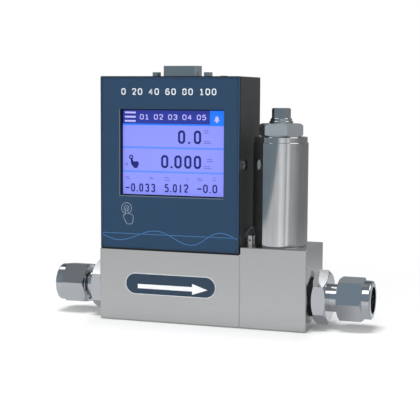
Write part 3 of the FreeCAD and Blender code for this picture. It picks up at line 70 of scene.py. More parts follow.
# %% Value: one socket with arithmetic
class Value:
    """An output socket. Arithmetic on it adds a Math node to the tree it belongs to."""

    def __init__(self, nodes, socket):
        self.nodes, self.socket = nodes, socket

    def output(self, name):
        """Another output of the same node."""
        return Value(self.nodes, self.socket.node.outputs[name])

    def math(self, operation, *inputs):
        return self.nodes.node("ShaderNodeMath", {"operation": operation}, dict(enumerate(inputs)))

    def __add__(self, other):
        return self.math("ADD", self, other)

    def __sub__(self, other):
        return self.math("SUBTRACT", self, other)

    def __rsub__(self, other):
        return self.math("SUBTRACT", other, self)

    def __mul__(self, other):
        return self.math("MULTIPLY", self, other)

    def __pow__(self, other):
        return self.math("POWER", self, other)

    __radd__, __rmul__ = __add__, __mul__

    def sine(self):
        return self.math("SINE", self)

    def absolute(self):
        return self.math("ABSOLUTE", self)

    def larger(self, other):
        return self.math("MAXIMUM", self, other)

    def limited(self):
        """The value held between 0 and 1."""
        return self.math("MINIMUM", self, 1.0).larger(0.0)

    def above(self, edge, softness):
        """0 below the edge, 1 above it, with a slope as wide as the softness."""
        return ((self - edge) * (1 / softness) + 0.5).limited()


# %% Nodes: one tree with one method for every node
class Nodes:
    """A node tree that is built with one method for every kind of node."""

    def __init__(self, tree):
        self.tree = tree

    def feed(self, socket, given):
        """Link a value to a socket, or write a plain number or colour on it."""
        if isinstance(given, Value):
            self.tree.links.new(given.socket, socket)
        else:
            socket.default_value = given

    def node(self, kind, settings=None, inputs=None, output=0):
        """Add a node, set it up, feed its inputs and give one of its outputs."""
        made = self.tree.nodes.new(kind)
        for name, setting in (settings or {}).items():
            setattr(made, name, setting)
        for name, given in (inputs or {}).items():
            self.feed(made.inputs[name], given)
        return Value(self, made.outputs[output])

    def mix(self, factor, first, second):
        """A colour between two, by a factor."""
        return self.node("ShaderNodeMix", {"data_type": "RGBA"},
                         {"Factor": factor, 6: first, 7: second}, 2)

    def axes(self, place):
        """The X, Y and Z of a place as three values."""
        apart = self.node("ShaderNodeSeparateXYZ", None, {"Vector": place})
        return [apart.output(axis) for axis in "XYZ"]


# %% Finish: one material
class Finish(Nodes):
    """A material with its shader and the place of each point on the object."""

    def __init__(self, name):
        self.material = bpy.data.materials.new(name)
        self.material.use_nodes = True
        super().__init__(self.material.node_tree)
        self.shader = self.tree.nodes["Principled BSDF"]
        self.place = self.node("ShaderNodeTexCoord", output="Object")

    def noise(self, scale, stretch=(1, 1, 1), detail=2.0):
        """Smooth noise from 0 to 1. The scale is features per metre, the stretch makes streaks."""
        place = self.node("ShaderNodeMapping", None, {"Vector": self.place, "Scale": stretch})
        return self.node("ShaderNodeTexNoise", None,
                         {"Vector": place, "Scale": scale, "Detail": detail}, "Fac")

    def set(self, **inputs):
        """Feed the shader's inputs by name, with _ for a blank."""
        for name, given in inputs.items():
            self.feed(self.shader.inputs[name.replace("_", " ")], given)
        return self

    def bumped(self, height, depth, strength):
        """Feed the normal with a height from 0 to 1 that is so many metres deep."""
        bump = self.node("ShaderNodeBump", None,
                         {"Height": height, "Distance": depth, "Strength": strength})
        return self.set(Normal=bump)

    def surface(self, shader):
        """Let another shader be the material's surface."""
        self.feed(self.tree.nodes["Material Output"].inputs["Surface"], shader)
        return self


# %% Colours
def shade(*levels):
    """A colour from 0 to 255, as a screen shows it, as the light it stands for."""
    part = np.array(levels, float) / 255
    light = np.where(part <= 0.04045, part / 12.92, ((part + 0.055) / 1.055) ** 2.4)
    return (*light.tolist(), 1.0)


def toned(colour, share):
    """A colour with its light times a share: darker below 1, lighter above it."""
    return tuple(value * share for value in colour[:3]) + (1.0,)


print("a mid grey of 128 is", round(shade(128, 128, 128)[0], 3))

# %% [markdown]
# ## Steel
# The two flow blocks are ground stainless steel with a satin face. Fittings, coil can and
# nuts are polished or plated, so they show the room. As finishes they are much alike: only
# the tint, how rough it is and how the fine marks run differ. So one function makes all the
# metals, with the marks as noise that is stretched along the direction of the grinding.

# %% Metal finishes
ACROSS, UPRIGHT, ALIKE = (0.05, 1, 1), (1, 1, 0.05), (1, 1, 1)


def metal(name, colour, roughness, marks=ALIKE, wear=0.04, wave=0.0, depth=4e-6, streaks=0.06):
    """Bare metal: stretched fine marks, soft patches in the polish and a slight wave.

    The roughness goes an eighth up and down with the marks, and up by the wear in patches.
    The colour runs between two tones, below and above it by the share given as streaks.
    """
    finish = Finish(name)
    fine = finish.noise(900, marks)
    patches = finish.noise(70, detail=4.0)
    rub = patches.above(0.62, 0.12) * wear
    finish.set(Metallic=1.0,
               Base_Color=finish.mix((fine * 0.5 + patches * 0.5).limited(),
                                     toned(colour, 1 - streaks), toned(colour, 1 + streaks)),
               Roughness=(fine - 0.5) * (0.25 * roughness) + rub + roughness)
    return finish.bumped(fine + patches * wave, depth, 0.6)


# %% The meter's metals
metals = {
    "base_steel": metal("ground_block_steel", shade(222, 220, 218), 0.17, ACROSS, wear=0.05),
    "screw_steel": metal("plain_screw_steel", shade(178, 178, 180), 0.3),
    "inner_steel": metal("turned_inner_steel", shade(190, 191, 193), 0.24),
    "filter_steel": metal("sintered_filter_steel", shade(150, 147, 142), 0.62, depth=6e-5),
    "fitting_steel": metal("polished_fitting_steel", shade(222, 223, 225), 0.085,
                           wear=0.03, wave=2.0),
    "cover_aluminium": metal("drawn_cover_aluminium", shade(205, 205, 207), 0.33, UPRIGHT),
    "display_metal": metal("folded_frame_metal", shade(176, 176, 178), 0.4, ACROSS),
    "post_brass": metal("turned_post_brass", shade(205, 175, 110), 0.25),
    "contact_brass": metal("plated_contact_brass", shade(214, 186, 120), 0.2),
    "connector_metal": metal("plated_connector_shell", shade(204, 209, 210), 0.2, wear=0.05),
    "plunger_steel": metal("ground_plunger_steel", shade(184, 184, 184), 0.22, UPRIGHT),
    "spring_steel": metal("drawn_spring_steel", shade(190, 190, 190), 0.28),
    "coil_chrome": metal("plated_coil_can", shade(222, 221, 220), 0.09, UPRIGHT,
                         wear=0.02, depth=2.5e-6, streaks=0.24),
    "nut_chrome": metal("plated_stem_cap", shade(205, 208, 210), 0.16, wear=0.03, depth=2e-6),
    "screw_black": metal("blacked_screw", shade(214, 216, 218), 0.14),
}
satin_nut = metal("plated_coil_nut", shade(250, 251, 251), 0.34,
                  wear=0.03, depth=2e-6, streaks=0.03)
print("metals:", len(metals), "and one more for the coil nut")

# %% [markdown]
# ## Paint, plastic and rubber
# The folded housing is black powder coat, the front is a blue printed film, and inside are
# mouldings and seals. They have no bare metal, so colour is what the light brings back, and
# a fine grain in the surface keeps it from looking like wet ink. Again one function serves.
#
# The film is cut a little larger than the panel and laps over the housing's cut edge. A lap
# that thin needs no solid of its own, so it is a blue area within the housing's finish.
# Where the film does not reach, the cut edge is painted nearly black: painted shade for the dark gap round the
# panel.

# %% Film over the cut edge, painted shade on the bare edge
PANEL_BLUE = shade(41, 67, 94)
# The cut edge keeps about an eighth of its colour: painted shade for the gap round the panel.
CUT_EDGE, GAP_SHADE_TONE, SHARP = -0.0195, 0.12, 0.0002
FILM_REACH, FILM_DEPTH = (0.0009, 0.00125, 0.00055, 0.00075), 0.0001


def film_and_gap_shade(finish, tone, colour):
    """The tone, nearly black on the sheet's cut edge, and blue where the film laps over it.

    The edge is what lies in front of CUT_EDGE in Y; its darkening is painted shade for the gap
    round the panel. The film covers the front panel's box, grown by FILM_REACH to the left,
    right, bottom and top, at the panel's front face.
    """
    x, y, z = finish.axes(finish.place)
    low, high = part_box("front_panel")
    left, right, below, above = FILM_REACH
    across = (x - (low[0] - left)).above(0, SHARP) * ((high[0] + right) - x).above(0, SHARP)
    upright = (z - (low[2] - below)).above(0, SHARP) * ((high[2] + above) - z).above(0, SHARP)
    in_front = ((low[1] + FILM_DEPTH) - y).above(0, FILM_DEPTH)
    # The cut edge's tone, darkened nearly to black: painted shade for the gap round the panel.
    edge = finish.mix((CUT_EDGE - y).above(0, SHARP), tone, toned(colour, GAP_SHADE_TONE))
    return finish.mix(across * upright * in_front, edge, PANEL_BLUE)


print("the film laps over by", [round(reach * 1000, 2) for reach in FILM_REACH], "mm")

# %% Coatings and mouldings
def coating(name, colour, roughness, grain=1500, depth=1e-5, patch=0.06, gloss=0.5, film=False):
    """Paint or moulding: a fine grain for the normal, soft patches for colour and gloss."""
    finish = Finish(name)
    fine = finish.noise(grain)
    patches = finish.noise(35, detail=4.0)
    tone = finish.mix(patches, toned(colour, 1 - patch), toned(colour, 1 + patch))
    # With film, the tone gets the film's lap and painted shade on the cut edge.
    finish.set(Base_Color=film_and_gap_shade(finish, tone, colour) if film else tone,
               Roughness=(patches - 0.5) * 0.12 + fine * 0.04 + roughness,
               Specular_IOR_Level=gloss)
    return finish.bumped(fine, depth, 0.5)


coatings = {
    "seal_rubber": coating("moulded_seal_rubber", shade(42, 42, 43), 0.6),
    "seal_steel": coating("dark_port_seal", shade(40, 41, 43), 0.5),
    # The housing's coat carries the film's lap and, on its cut edge, painted shade.
    "housing_black": coating("black_powder_coat", shade(70, 71, 70), 0.42, 1200, 1.5e-5,
                             gloss=0.3, film=True),
    "panel_blue": coating("blue_front_film", PANEL_BLUE, 0.5, 4000, 4e-6, 0.03, 0.2),
    "chassis_black": coating("black_window_rim", shade(40, 40, 36), 0.45, gloss=0.2),
    "display_face": coating("dark_display_glass", shade(12, 12, 16), 0.16, 300, 1e-6, 0.2),
    "component_black": coating("moulded_component_black", shade(44, 44, 46), 0.5),
    "connector_plastic": coating("moulded_connector_black", shade(48, 50, 54), 0.45),
    "trim_plastic": coating("moulded_grey_plug", shade(150, 152, 154), 0.4),
    "bobbin_plastic": coating("moulded_bobbin", shade(222, 218, 208), 0.45),
    "clip_grey": coating("painted_grey_clip", shade(214, 214, 216), 0.3),
    "lead_black": coating("black_lead_jacket", shade(58, 60, 64), 0.16, 2500, gloss=1.0),
}
print("coatings:", len(coatings))

# %% [markdown]
# ## Boards and windings
# Inside, the circuit boards show green lacquer over paler copper paths, and the coil is
# hundreds of turns of enamelled wire. Modelling either would cost far more faces than they
# are worth behind a closed can, so the paths come from a threshold on stretched noise and
# the turns from a sine along the height, which also drives the bump. The same sine darkens
# the colour between turns as painted shade and lightens it on their crests as painted highlight.

# %% Board lacquer and wound wire
WIRE_PITCH = 0.0004


def lacquered_board(name):
    """Green lacquer, paler where noise drawn out sideways or upwards is over a threshold."""
    finish = Finish(name)
    along = finish.noise(260, (0.12, 1, 1), 1.0)
    upward = finish.noise(260, (1, 1, 0.12), 1.0)
    paths = (along.above(0.6, 0.02) + upward.above(0.62, 0.02)).limited()
    finish.set(Base_Color=finish.mix(paths, shade(14, 92, 52), shade(58, 132, 74)),
               Roughness=0.3 + paths * 0.08, Coat_Weight=0.2)
    return finish.bumped(paths, 3e-5, 0.5)


def wound_wire(name):
    """Turns of wire: half a sine of the height plus a half, one turn for each pitch."""
    finish = Finish(name)
    height = finish.axes(finish.place)[2]
    turns = (height * (2 * math.pi / WIRE_PITCH)).sine() * 0.5 + 0.5
    # The colour follows the sine: darker between turns as painted shade, lighter on the crests as painted
    # highlight.
    finish.set(Metallic=1.0,
               Base_Color=finish.mix(turns, shade(140, 74, 40), shade(214, 138, 88)),
               Roughness=0.42 - turns * 0.14)
    return finish.bumped(turns, WIRE_PITCH / 3, 0.8)


others = {"board_green": lacquered_board("green_board_lacquer"),
          "winding_copper": wound_wire("enamelled_copper_turns")}
print("turns of wire in a centimetre:", round(0.01 / WIRE_PITCH))

# %% [markdown]
# ## The flow plate
# The plate beside the inlet is a dark blue film with a pale rim and a white arrow towards
# the outlet, printed flat. A separate arrow would stand proud of the plate, so the print is
# painted on it: the distance to the middle line of the plate gives the rim, and two straight
# limits that close towards the tip give the arrow.

# %% Flow plate sizes, in millimetres
MM = 0.001
plate_low, plate_high = (np.array(corner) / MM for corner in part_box("flow_label"))
plate_x, _, plate_z = (plate_low + plate_high) / 2
half_long, _, half_tall = (plate_high - plate_low) / 2
RIM, SOFT = 0.45, 0.12
ARROW_START, ARROW_TIP, ARROW_Z, SHAFT_HALF = -39.8, 4.9, 21.3, 1.33
HEAD_START, HEAD_HALF, OVERLAP = -4.85, 3.3, 0.5
HEAD_SLOPE = HEAD_HALF / (ARROW_TIP - HEAD_START)
print("flow plate centre:", round(plate_x, 2), round(plate_z, 2))

# %% Flow plate print
def flow_plate(name):
    """Blue film, pale within the rim's width of its outline, white inside the arrow.

    The plate is all that lies within half its height of its middle line. The shaft is a strip
    along the arrow's height, and the head's half width shrinks evenly from its start to its tip.
    """
    finish = Finish(name)
    x, _, z = finish.axes(finish.place)
    x, z = x * (1 / MM), z * (1 / MM)
    along = ((x - plate_x).absolute() - (half_long - half_tall)).larger(0.0)
    up = z - plate_z
    from_middle = (along * along + up * up) ** 0.5
    rim = from_middle.above(half_tall - RIM, SOFT)
    off = (z - ARROW_Z).absolute()
    shaft = ((SHAFT_HALF - off).above(0, SOFT) * (x - ARROW_START).above(0, SOFT)
             * (HEAD_START + OVERLAP - x).above(0, SOFT))
    head = ((ARROW_TIP - x) * HEAD_SLOPE - off).above(0, SOFT) * (x - HEAD_START).above(0, SOFT)
    spots = finish.noise(2500)
    film = finish.mix(spots, shade(46, 64, 82), shade(51, 69, 88))
    edged = finish.mix(rim, film, shade(206, 210, 214))
    finish.set(Base_Color=finish.mix((shaft + head).limited(), edged, shade(244, 245, 247)),
               Roughness=spots * 0.08 + 0.38, Specular_IOR_Level=0.25)
    return finish.bumped(spots, 2e-6, 0.4)


others["label_blue"] = flow_plate("printed_flow_plate")
slots = {**metals, **coatings, **others}
print("slots with a finish:", len(slots))

# %% [markdown]
# ## Put the finishes on
# The record says which slot each node takes, and the coil nut has a more satin plating than
# the cap above it. The CAD meshes are triangles, so a round can would show its facets.
# Welding the triangles, splitting them only at real edges and then shading smoothly makes a
# cylinder mirror the room as a turned one does, and moves nothing.

# %% Dress the CAD nodes
EDGE, WELD = math.radians(20), 1e-6


def smooth(piece):
    """Shade a mesh smoothly between edges that turn by less than 20 degrees."""
    piece.data.polygons.foreach_set("use_smooth", [True] * len(piece.data.polygons))
    piece.modifiers.new("weld", "WELD").merge_threshold = WELD
    piece.modifiers.new("edges", "EDGE_SPLIT").split_angle = EDGE
    piece.modifiers.new("normals", "WEIGHTED_NORMAL").keep_sharp = True


slot_of = {row["node"]: row["material_slot"] for row in frame["record"]["subparts"]}
for part, piece in nodes.items():
    finish = satin_nut if part == "coil_nut" else slots[slot_of[part]]
    piece.data.materials.clear()
    piece.data.materials.append(finish.material)
    smooth(piece)
print("dressed:", len(nodes))

# %% [markdown]
# ## The return spring
# Inside the valve stem a wound wire spring presses the plunger on its seat and gets shorter
# when the coil lifts it. The CAD spring can't shorten, so the lifted plunger would cut into
# it. This one is worked out as a round wire along a helix whose end turns lie close, and
# stands in the CAD spring's place.

# %% The spring's surface
END_CLIMB, CLOSE_TURNS, RUN_IN = 0.3, 0.75, 0.5


def spring_surface(middle, low, high, width, wire, turns, per_turn=48, around=12):
    """A wire along a helix: the angle grows evenly, the climb is slow in the first and last turn.

    A point of the surface is the helix's point plus the wire's half width, turned from the
    outward direction towards the one across both it and the helix's own way.
    """
    angle = np.linspace(0, 2 * math.pi * turns, turns * per_turn + 1)[:, None]
    turn = angle / (2 * math.pi)
    from_end = np.minimum(turn, turns - turn)
    rate = END_CLIMB + (1 - END_CLIMB) * np.clip(from_end - CLOSE_TURNS, 0, RUN_IN) / RUN_IN
    climb = np.cumsum(rate, axis=0) - rate[0]
    rise = (high - low - wire) * climb / climb[-1]
    outward = np.hstack([np.cos(angle), np.sin(angle), np.zeros_like(angle)])
    line = outward * ((width - wire) / 2) + np.hstack([
        np.full_like(angle, middle[0]), np.full_like(angle, middle[1]), low + wire / 2 + rise])
    way = np.gradient(line, axis=0)
    way /= np.linalg.norm(way, axis=1, keepdims=True)
    across = np.cross(way, outward)[:, None]
    turned = np.linspace(0, 2 * math.pi, around, endpoint=False)[None, :, None]
    return line[:, None] + wire / 2 * (np.cos(turned) * outward[:, None] + np.sin(turned) * across)


def wound_faces(rows, columns):
    """Four-cornered faces along and round the wire, and one closing face at each end."""
    row, column = np.arange(rows - 1)[:, None] * columns, np.arange(columns)[None, :]
    beside = (column + 1) % columns
    corners = [row + column, row + beside, row + columns + beside, row + columns + column]
    faces = np.stack(corners, axis=-1).reshape(-1, 4).tolist()
    last = (rows - 1) * columns
    return faces + [list(range(columns))[::-1], list(range(last, last + columns))]


# %% Wind the spring
lift = next(joint for joint in frame["joints"] if joint["name"] == "plunger_lift")
travel, upper_end = lift["range_m"][1], lift["deforming_nodes"][0]["fixed_end_z_m"]
spring_low, spring_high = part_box("return_spring")
CLEARANCE, WIRE, TURNS = 2e-5, 0.0005, 8
wire_grid = spring_surface((spring_low + spring_high) / 2, spring_low[2] + CLEARANCE,
                           spring_high[2], spring_high[0] - spring_low[0], WIRE, TURNS)
wire_faces = wound_faces(*wire_grid.shape[:2])
wire_mesh = bpy.data.meshes.new("wound_return_spring")
wire_mesh.from_pydata(wire_grid.reshape(-1, 3).tolist(), [], wire_faces)
wire_mesh.polygons.foreach_set("use_smooth", [True] * len(wire_mesh.polygons))
wire_mesh.materials.append(metals["spring_steel"].material)
wound_spring = bpy.data.objects.new("wound_return_spring", wire_mesh)
bpy.context.collection.objects.link(wound_spring)
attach(wound_spring, "meter")
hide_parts("return_spring")
1 - travel / (upper_end - spring_low[2])
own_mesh(wound_spring)
print("spring faces:", len(wire_faces), "shortens by", round(travel / MM, 2), "mm")

# %% [markdown]
# ## Thin printed and lit shapes
# Digits, lines and pictograms are at most two hundredths of a millimetre thick. A stroke is
# a flat bar carried along a path: at every point the bar's two sides stand off along the
# mitre, so corners stay sharp and the bar keeps its width. A filled shape is a plate with
# its outline. Working on whole arrays keeps this short, and the result is real geometry
# that other viewers show too.

# %% Carry a bar along a path
SHARPEST, TINY = 0.6, 1e-12


def sides(path, closed):
    """Unit way along each run of a path in X and Z; an open path repeats its end runs."""
    step = np.roll(path, -1, axis=0) - path
    way = step / np.maximum(np.linalg.norm(step, axis=1, keepdims=True), TINY)
    before = np.roll(way, 1, axis=0)
    if not closed:
        way[-1] = way[-2]
        before[0] = way[0]
    return before, way


def bar(path, width, closed=False):
    """A flat bar's mesh: the path moved half a width along the mitre to both sides.

    The mitre is the sum of the two runs' normals, made long enough that each side keeps
    its distance, though at corners sharper than SHARPEST allows it is held shorter. Each
    point gives four corners, front left, front right, back right and back left.
    """
    path = np.asarray(path, float)
    before, way = sides(path, closed)
    normal = np.stack([-way[:, 1], way[:, 0]], axis=1)
    normal_before = np.stack([-before[:, 1], before[:, 0]], axis=1)
    mitre = normal + normal_before
    mitre *= width / np.maximum((mitre * mitre).sum(axis=1, keepdims=True), SHARPEST)
    left, right = path + mitre, path - mitre
    corners = np.stack([left, right, right, left], axis=1)
    depth = np.broadcast_to([0.0, 0.0, 1.0, 1.0], corners.shape[:2])
    count = len(path)
    start = np.arange(count if closed else count - 1)[:, None] * 4
    column = np.arange(4)[None, :]
    after = (start + 4) % (count * 4)
    here, beside = start + column, start + (column + 1) % 4
    ahead, across = after + column, after + (column + 1) % 4
    faces = np.stack([here, beside, across, ahead], axis=-1).reshape(-1, 4)
    if not closed:
        last = (count - 1) * 4
        faces = np.vstack([faces, [[3, 2, 1, 0]], [[last, last + 1, last + 2, last + 3]]])
    return corners.reshape(-1, 2), depth.reshape(-1), faces


# %% Fill an outline
def plate(outline):
    """A flat plate's mesh: the outline in front and behind, a fan from its middle on both.

    The outline is turned round if the sum of its runs' cross products says it runs clockwise.
    """
    outline = np.asarray(outline, float)
    after = np.roll(outline, -1, axis=0)
    if np.sum(outline[:, 0] * after[:, 1] - outline[:, 1] * after[:, 0]) < 0:
        outline = outline[::-1]
    count, middle = len(outline), outline.mean(axis=0)[None]
    flat = np.vstack([outline, outline, middle, middle])
    depth = np.concatenate([np.zeros(count), np.ones(count), [0.0, 1.0]])
    here = np.arange(count)
    ahead = (here + 1) % count
    front = np.stack([here, ahead, np.full(count, 2 * count)], axis=1)
    back = np.stack([ahead + count, here + count, np.full(count, 2 * count + 1)], axis=1)
    wall = np.stack([ahead, here, here + count, ahead + count], axis=1)
    return flat, depth, [*front.tolist(), *back.tolist(), *wall.tolist()]


# %% Gather shapes into one piece
def printed(name, shapes, front, thick, finish, body="meter"):
    """Join flat shapes, in millimetres in X and Z, into one piece whose face is at Y = front."""
    places, faces, first = [], [], 0
    for flat, depth, its_faces in shapes:
        places.append(np.column_stack([flat[:, 0], front + depth * thick, flat[:, 1]]))
        faces += [[corner + first for corner in face] for face in its_faces]
        first += len(flat)
    mesh = bpy.data.meshes.new(name)
    mesh.from_pydata((np.vstack(places) * MM).tolist(), [], faces)
    mesh.validate()
    mesh.materials.append(finish.material)
    piece = bpy.data.objects.new(name, mesh)
    bpy.context.collection.objects.link(piece)
    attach(piece, body)
    print(name, "faces:", len(mesh.polygons))
    return piece


# %% Inks
INK_DIMMING = 0.55


def ink(name, colour, glow=0.0, roughness=0.45):
    """Printed ink, or a lit part of the screen if it glows, with slight unevenness.

    What glows brings back less light of its own, so that both together give the colour.
    """
    finish = Finish(name)
    spots = finish.noise(2500)
    dimmed = 1 - INK_DIMMING * glow
    finish.set(Base_Color=finish.mix(spots, toned(colour, dimmed - 0.05), toned(colour, dimmed)),
               Roughness=spots * 0.06 + roughness, Specular_IOR_Level=0.2)
    if glow:
        finish.set(Emission_Color=finish.mix(spots, toned(colour, 0.97), colour),
                   Emission_Strength=glow)
    return finish.bumped(spots, 1e-6, 0.3)


# %% [markdown]
# ## A small stroke alphabet
# The screen's big figures are drawn with straight strokes and cut corners, the small ones
# with softer ones. Eight digits and a minus are enough, each a few strokes, and each stroke
# a list of points in a box one wide and one high. To soften a stroke, each of its corners is
# replaced by points a quarter of the way along its two sides. The three strokes of the four
# stay apart, because a cut corner would shorten its slant.

# %% Strokes of the digits
CUT_X, CUT_Z = 0.26, 0.156
STROKES = {
    "0": [[(CUT_X, 0), (1 - CUT_X, 0), (1, CUT_Z), (1, 1 - CUT_Z), (1 - CUT_X, 1), (CUT_X, 1),
           (0, 1 - CUT_Z), (0, CUT_Z), "closed"]],
    "1": [[(0.15, 0.78), (0.55, 1), (0.55, 0)], [(0.1, 0), (1, 0)]],
    "2": [[(0, 0.78), (0.12, 1), (0.88, 1), (1, 0.8), (1, 0.62), (0, 0), (1, 0)]],
    "3": [[(0, 0.86), (0.2, 1), (0.85, 1), (1, 0.84), (1, 0.66), (0.75, 0.53), (0.4, 0.53)],
          [(0.75, 0.53), (1, 0.38), (1, 0.16), (0.85, 0), (0.2, 0), (0, 0.14)]],
    "4": [[(0.76, 0), (0.76, 1)], [(0.8, 1), (0, 0.28)], [(-0.06, 0.3), (1.02, 0.3)]],
    "5": [[(0.94, 1), (0.1, 1), (0.06, 0.56), (0.75, 0.62), (1, 0.44), (1, 0.16), (0.8, 0),
           (0.2, 0), (0, 0.14)]],
    "6": [[(0.92, 0.88), (0.7, 1), (0.3, 1), (0, 0.72), (0, 0.2), (0.2, 0), (0.8, 0), (1, 0.18),
           (1, 0.4), (0.8, 0.58), (0.2, 0.58), (0, 0.42)]],
    "8": [[(0.2, 0.54), (0.8, 0.54), (0.96, 0.7), (0.96, 0.86), (0.8, 1), (0.2, 1), (0.04, 0.86),
           (0.04, 0.7), "closed"],
          [(0.2, 0.54), (0, 0.4), (0, 0.16), (0.2, 0), (0.8, 0), (1, 0.16), (1, 0.4), (0.8, 0.54),
           "closed"]],
    "-": [[(-0.25, 0.46), (1.25, 0.46)]],
}
print("characters:", len(STROKES))

# %% Digits as bars
BLANK = 0.7


def soften(path, closed):
    """Corner cutting: each run keeps its middle half, and an open path keeps its two ends."""
    after = np.roll(path, -1, axis=0) if closed else path[1:]
    here = path if closed else path[:-1]
    cut = np.stack([here * 0.75 + after * 0.25, here * 0.25 + after * 0.75], axis=1).reshape(-1, 2)
    return cut if closed else np.vstack([path[:1], cut, path[-1:]])


def digit(character, left, bottom, right, top, stroke, soft=0):
    """The bars of one character whose strokes' outer edges fill the given box."""
    half = stroke / 2
    bars = []
    for run in STROKES[character]:
        closed = run[-1] == "closed"
        path = np.array([point for point in run if point != "closed"], float)
        for _ in range(soft):
            path = soften(path, closed)
        low = np.array([left + half, bottom + half])
        wide = np.array([right - left - stroke, top - bottom - stroke])
        bars.append(bar(low + path * wide, stroke, closed))
    return bars


def number(text, left, bottom, right, top, stroke, gap):
    """A row of softened digits spread evenly over a width; a blank takes less room."""
    shares = [BLANK if character == " " else 1.0 for character in text]
    unit = (right - left - gap * (len(text) - 1)) / sum(shares)
    bars, at = [], left
    for character, share in zip(text, shares):
        if character != " ":
            bars += digit(character, at, bottom, at + unit * share, top, stroke, 1)
        at += unit * share + gap
    return bars


def patch(left, bottom, right, top):
    """A rectangular plate."""
    return plate([(left, bottom), (right, bottom), (right, top), (left, top)])


def ring(x, z, radius, count=40):
    """Points of a circle: the centre plus the radius along each angle's cosine and sine."""
    angle = np.linspace(0, 2 * math.pi, count, endpoint=False)
    return np.column_stack([x + radius * np.cos(angle), z + radius * np.sin(angle)])


print("bars of a four:", len(digit("4", 0, 0, 1, 1, 0.1)))

# %% [markdown]
# ## The lit screen
# The display cell shows a pale violet ground with a darker head bar, two dividing lines and
# the readings. A real one is a lit layer behind glass. Here each colour is a thin plate in
# front of the glass with a little glow of its own, so it looks lit without adding light.

# %% Screen ground, head bar and dividers
SCREEN = -18.0
LEFT, RIGHT, LOW, HIGH, HEAD_LOW, LINE_LOW = -50.9, 13.35, 76.9, 127.7, 119.6, 118.7
LAYER, THICK = 0.02, 0.015
screen_finish = {
    "ground": ink("screen_ground", shade(134, 142, 240), 0.48, 0.3),
    "head": ink("screen_head", shade(46, 57, 150), 0.5, 0.3),
    "bright": ink("screen_bright_line", shade(30, 120, 250), 0.5, 0.3),
    "divider": ink("screen_divider", shade(80, 130, 255), 0.5, 0.3),
    "digits": ink("screen_digits", shade(32, 38, 112), 0.3, 0.3),
    "faint": ink("screen_faint_marks", shade(84, 88, 180), 0.4, 0.3),
    "icons": ink("screen_icons", shade(190, 185, 250), 0.5, 0.3),
}


def on_screen(name, shapes, layer, finish):
    """Lay shapes on the glass; each layer stands two hundredths of a millimetre further out."""
    return printed(name, shapes, SCREEN - LAYER * layer, THICK, screen_finish[finish])


on_screen("screen_ground", [patch(LEFT, LOW, RIGHT, HIGH)], 1, "ground")
on_screen("screen_head", [patch(LEFT, HEAD_LOW, RIGHT, HIGH)], 2, "head")
on_screen("screen_head_line", [patch(LEFT, LINE_LOW, RIGHT, HEAD_LOW)], 2, "bright")
on_screen("screen_dividers", [patch(LEFT, 104.75, RIGHT, 105.8),
                              patch(LEFT, 90.35, RIGHT, 91.25)], 2, "divider")

# %% [markdown]
# The head bar carries three menu bars, five small numbers and a bell in a brighter box. On
# the real screen they are pale picture elements. Here they lie on layers in front of the
# bar, so none of them shares a plane with what it covers.

# %% Screen icons: menu bars and bell
BELL_BOX, BELL, CLAPPER, MENU_HALF = 4.7, (9.0, 122.6), (9.0, 121.1, 0.55), 0.52
on_screen("screen_bell_box", [patch(BELL_BOX, HEAD_LOW, RIGHT, HIGH)], 3, "bright")
bell = [(-1.75, -1.0), (1.75, -1.0), (1.2, -0.2), (1.05, 0.9), (0.6, 1.6), (0, 1.9),
        (-0.6, 1.6), (-1.05, 0.9), (-1.2, -0.2)]
icons = [patch(-49.6, z - MENU_HALF, -42.5, z + MENU_HALF) for z in (126.2, 123.65, 121.15)]
icons += [plate(np.array(bell) + BELL), plate(ring(*CLAPPER, 12))]
on_screen("screen_icons", icons, 4, "icons")
on_screen("screen_head_numbers",
          number("01 02 03 04 05", -39.8, 122.1, 2.3, 125.3, 0.5, 0.75), 4, "icons")

# %% [markdown]
# Two rows show noughts in big figures with one point each, and the third row has smaller
# figures. These stand on a line that rises a little to the right, so each has a base of its
# own besides its left and right limits.

# %% Screen readings
BIG, SMALL, SMALL_HIGH = 1.35, 0.86, 5.05
BIG_POINT, SMALL_POINT = 1.2, 0.8
nought_rows = [
    (107.95, 115.87, -8.85, ((-15.33, -10.8), (-5.35, -0.75))),
    (93.2, 100.95, -20.05, ((-26.1, -21.45), (-17.6, -12.95), (-11.35, -6.75), (-5.3, -0.7)))]
readings = []
for base, top, point, spots in nought_rows:
    for start, stop in spots:
        readings += digit("0", start, base, stop, top, BIG)
    readings.append(patch(point, base, point + BIG_POINT, base + BIG_POINT))
third_row = [("-", -49.17, 78.45, -46.6), ("0", -45.6, 78.45, -42.9), ("0", -40.25, 78.5, -37.6),
             ("3", -36.4, 78.5, -33.75), ("3", -32.55, 78.5, -29.9), ("5", -23.9, 78.65, -21.15),
             ("0", -18.55, 78.7, -15.9), ("1", -14.75, 78.7, -12.75), ("2", -11.6, 78.8, -8.7),
             ("-", -3.1, 78.9, -0.4), ("0", 0.6, 79.0, 3.6), ("0", 6.45, 79.0, 9.5)]
for character, start, base, stop in third_row:
    readings += digit(character, start, base, stop, base + SMALL_HIGH, SMALL, 1)
readings += [patch(x - SMALL_POINT / 2, z, x + SMALL_POINT / 2, z + SMALL_POINT)
             for x, z in ((-41.55, 78.5), (-19.85, 78.75), (5.0, 79.0))]
on_screen("screen_readings", readings, 3, "digits")

# %% [markdown]
# Beside the readings stand pairs of short dashes, as grey as fine print looks from afar.
# At the left, a small hand below a ring hints at touching the screen.

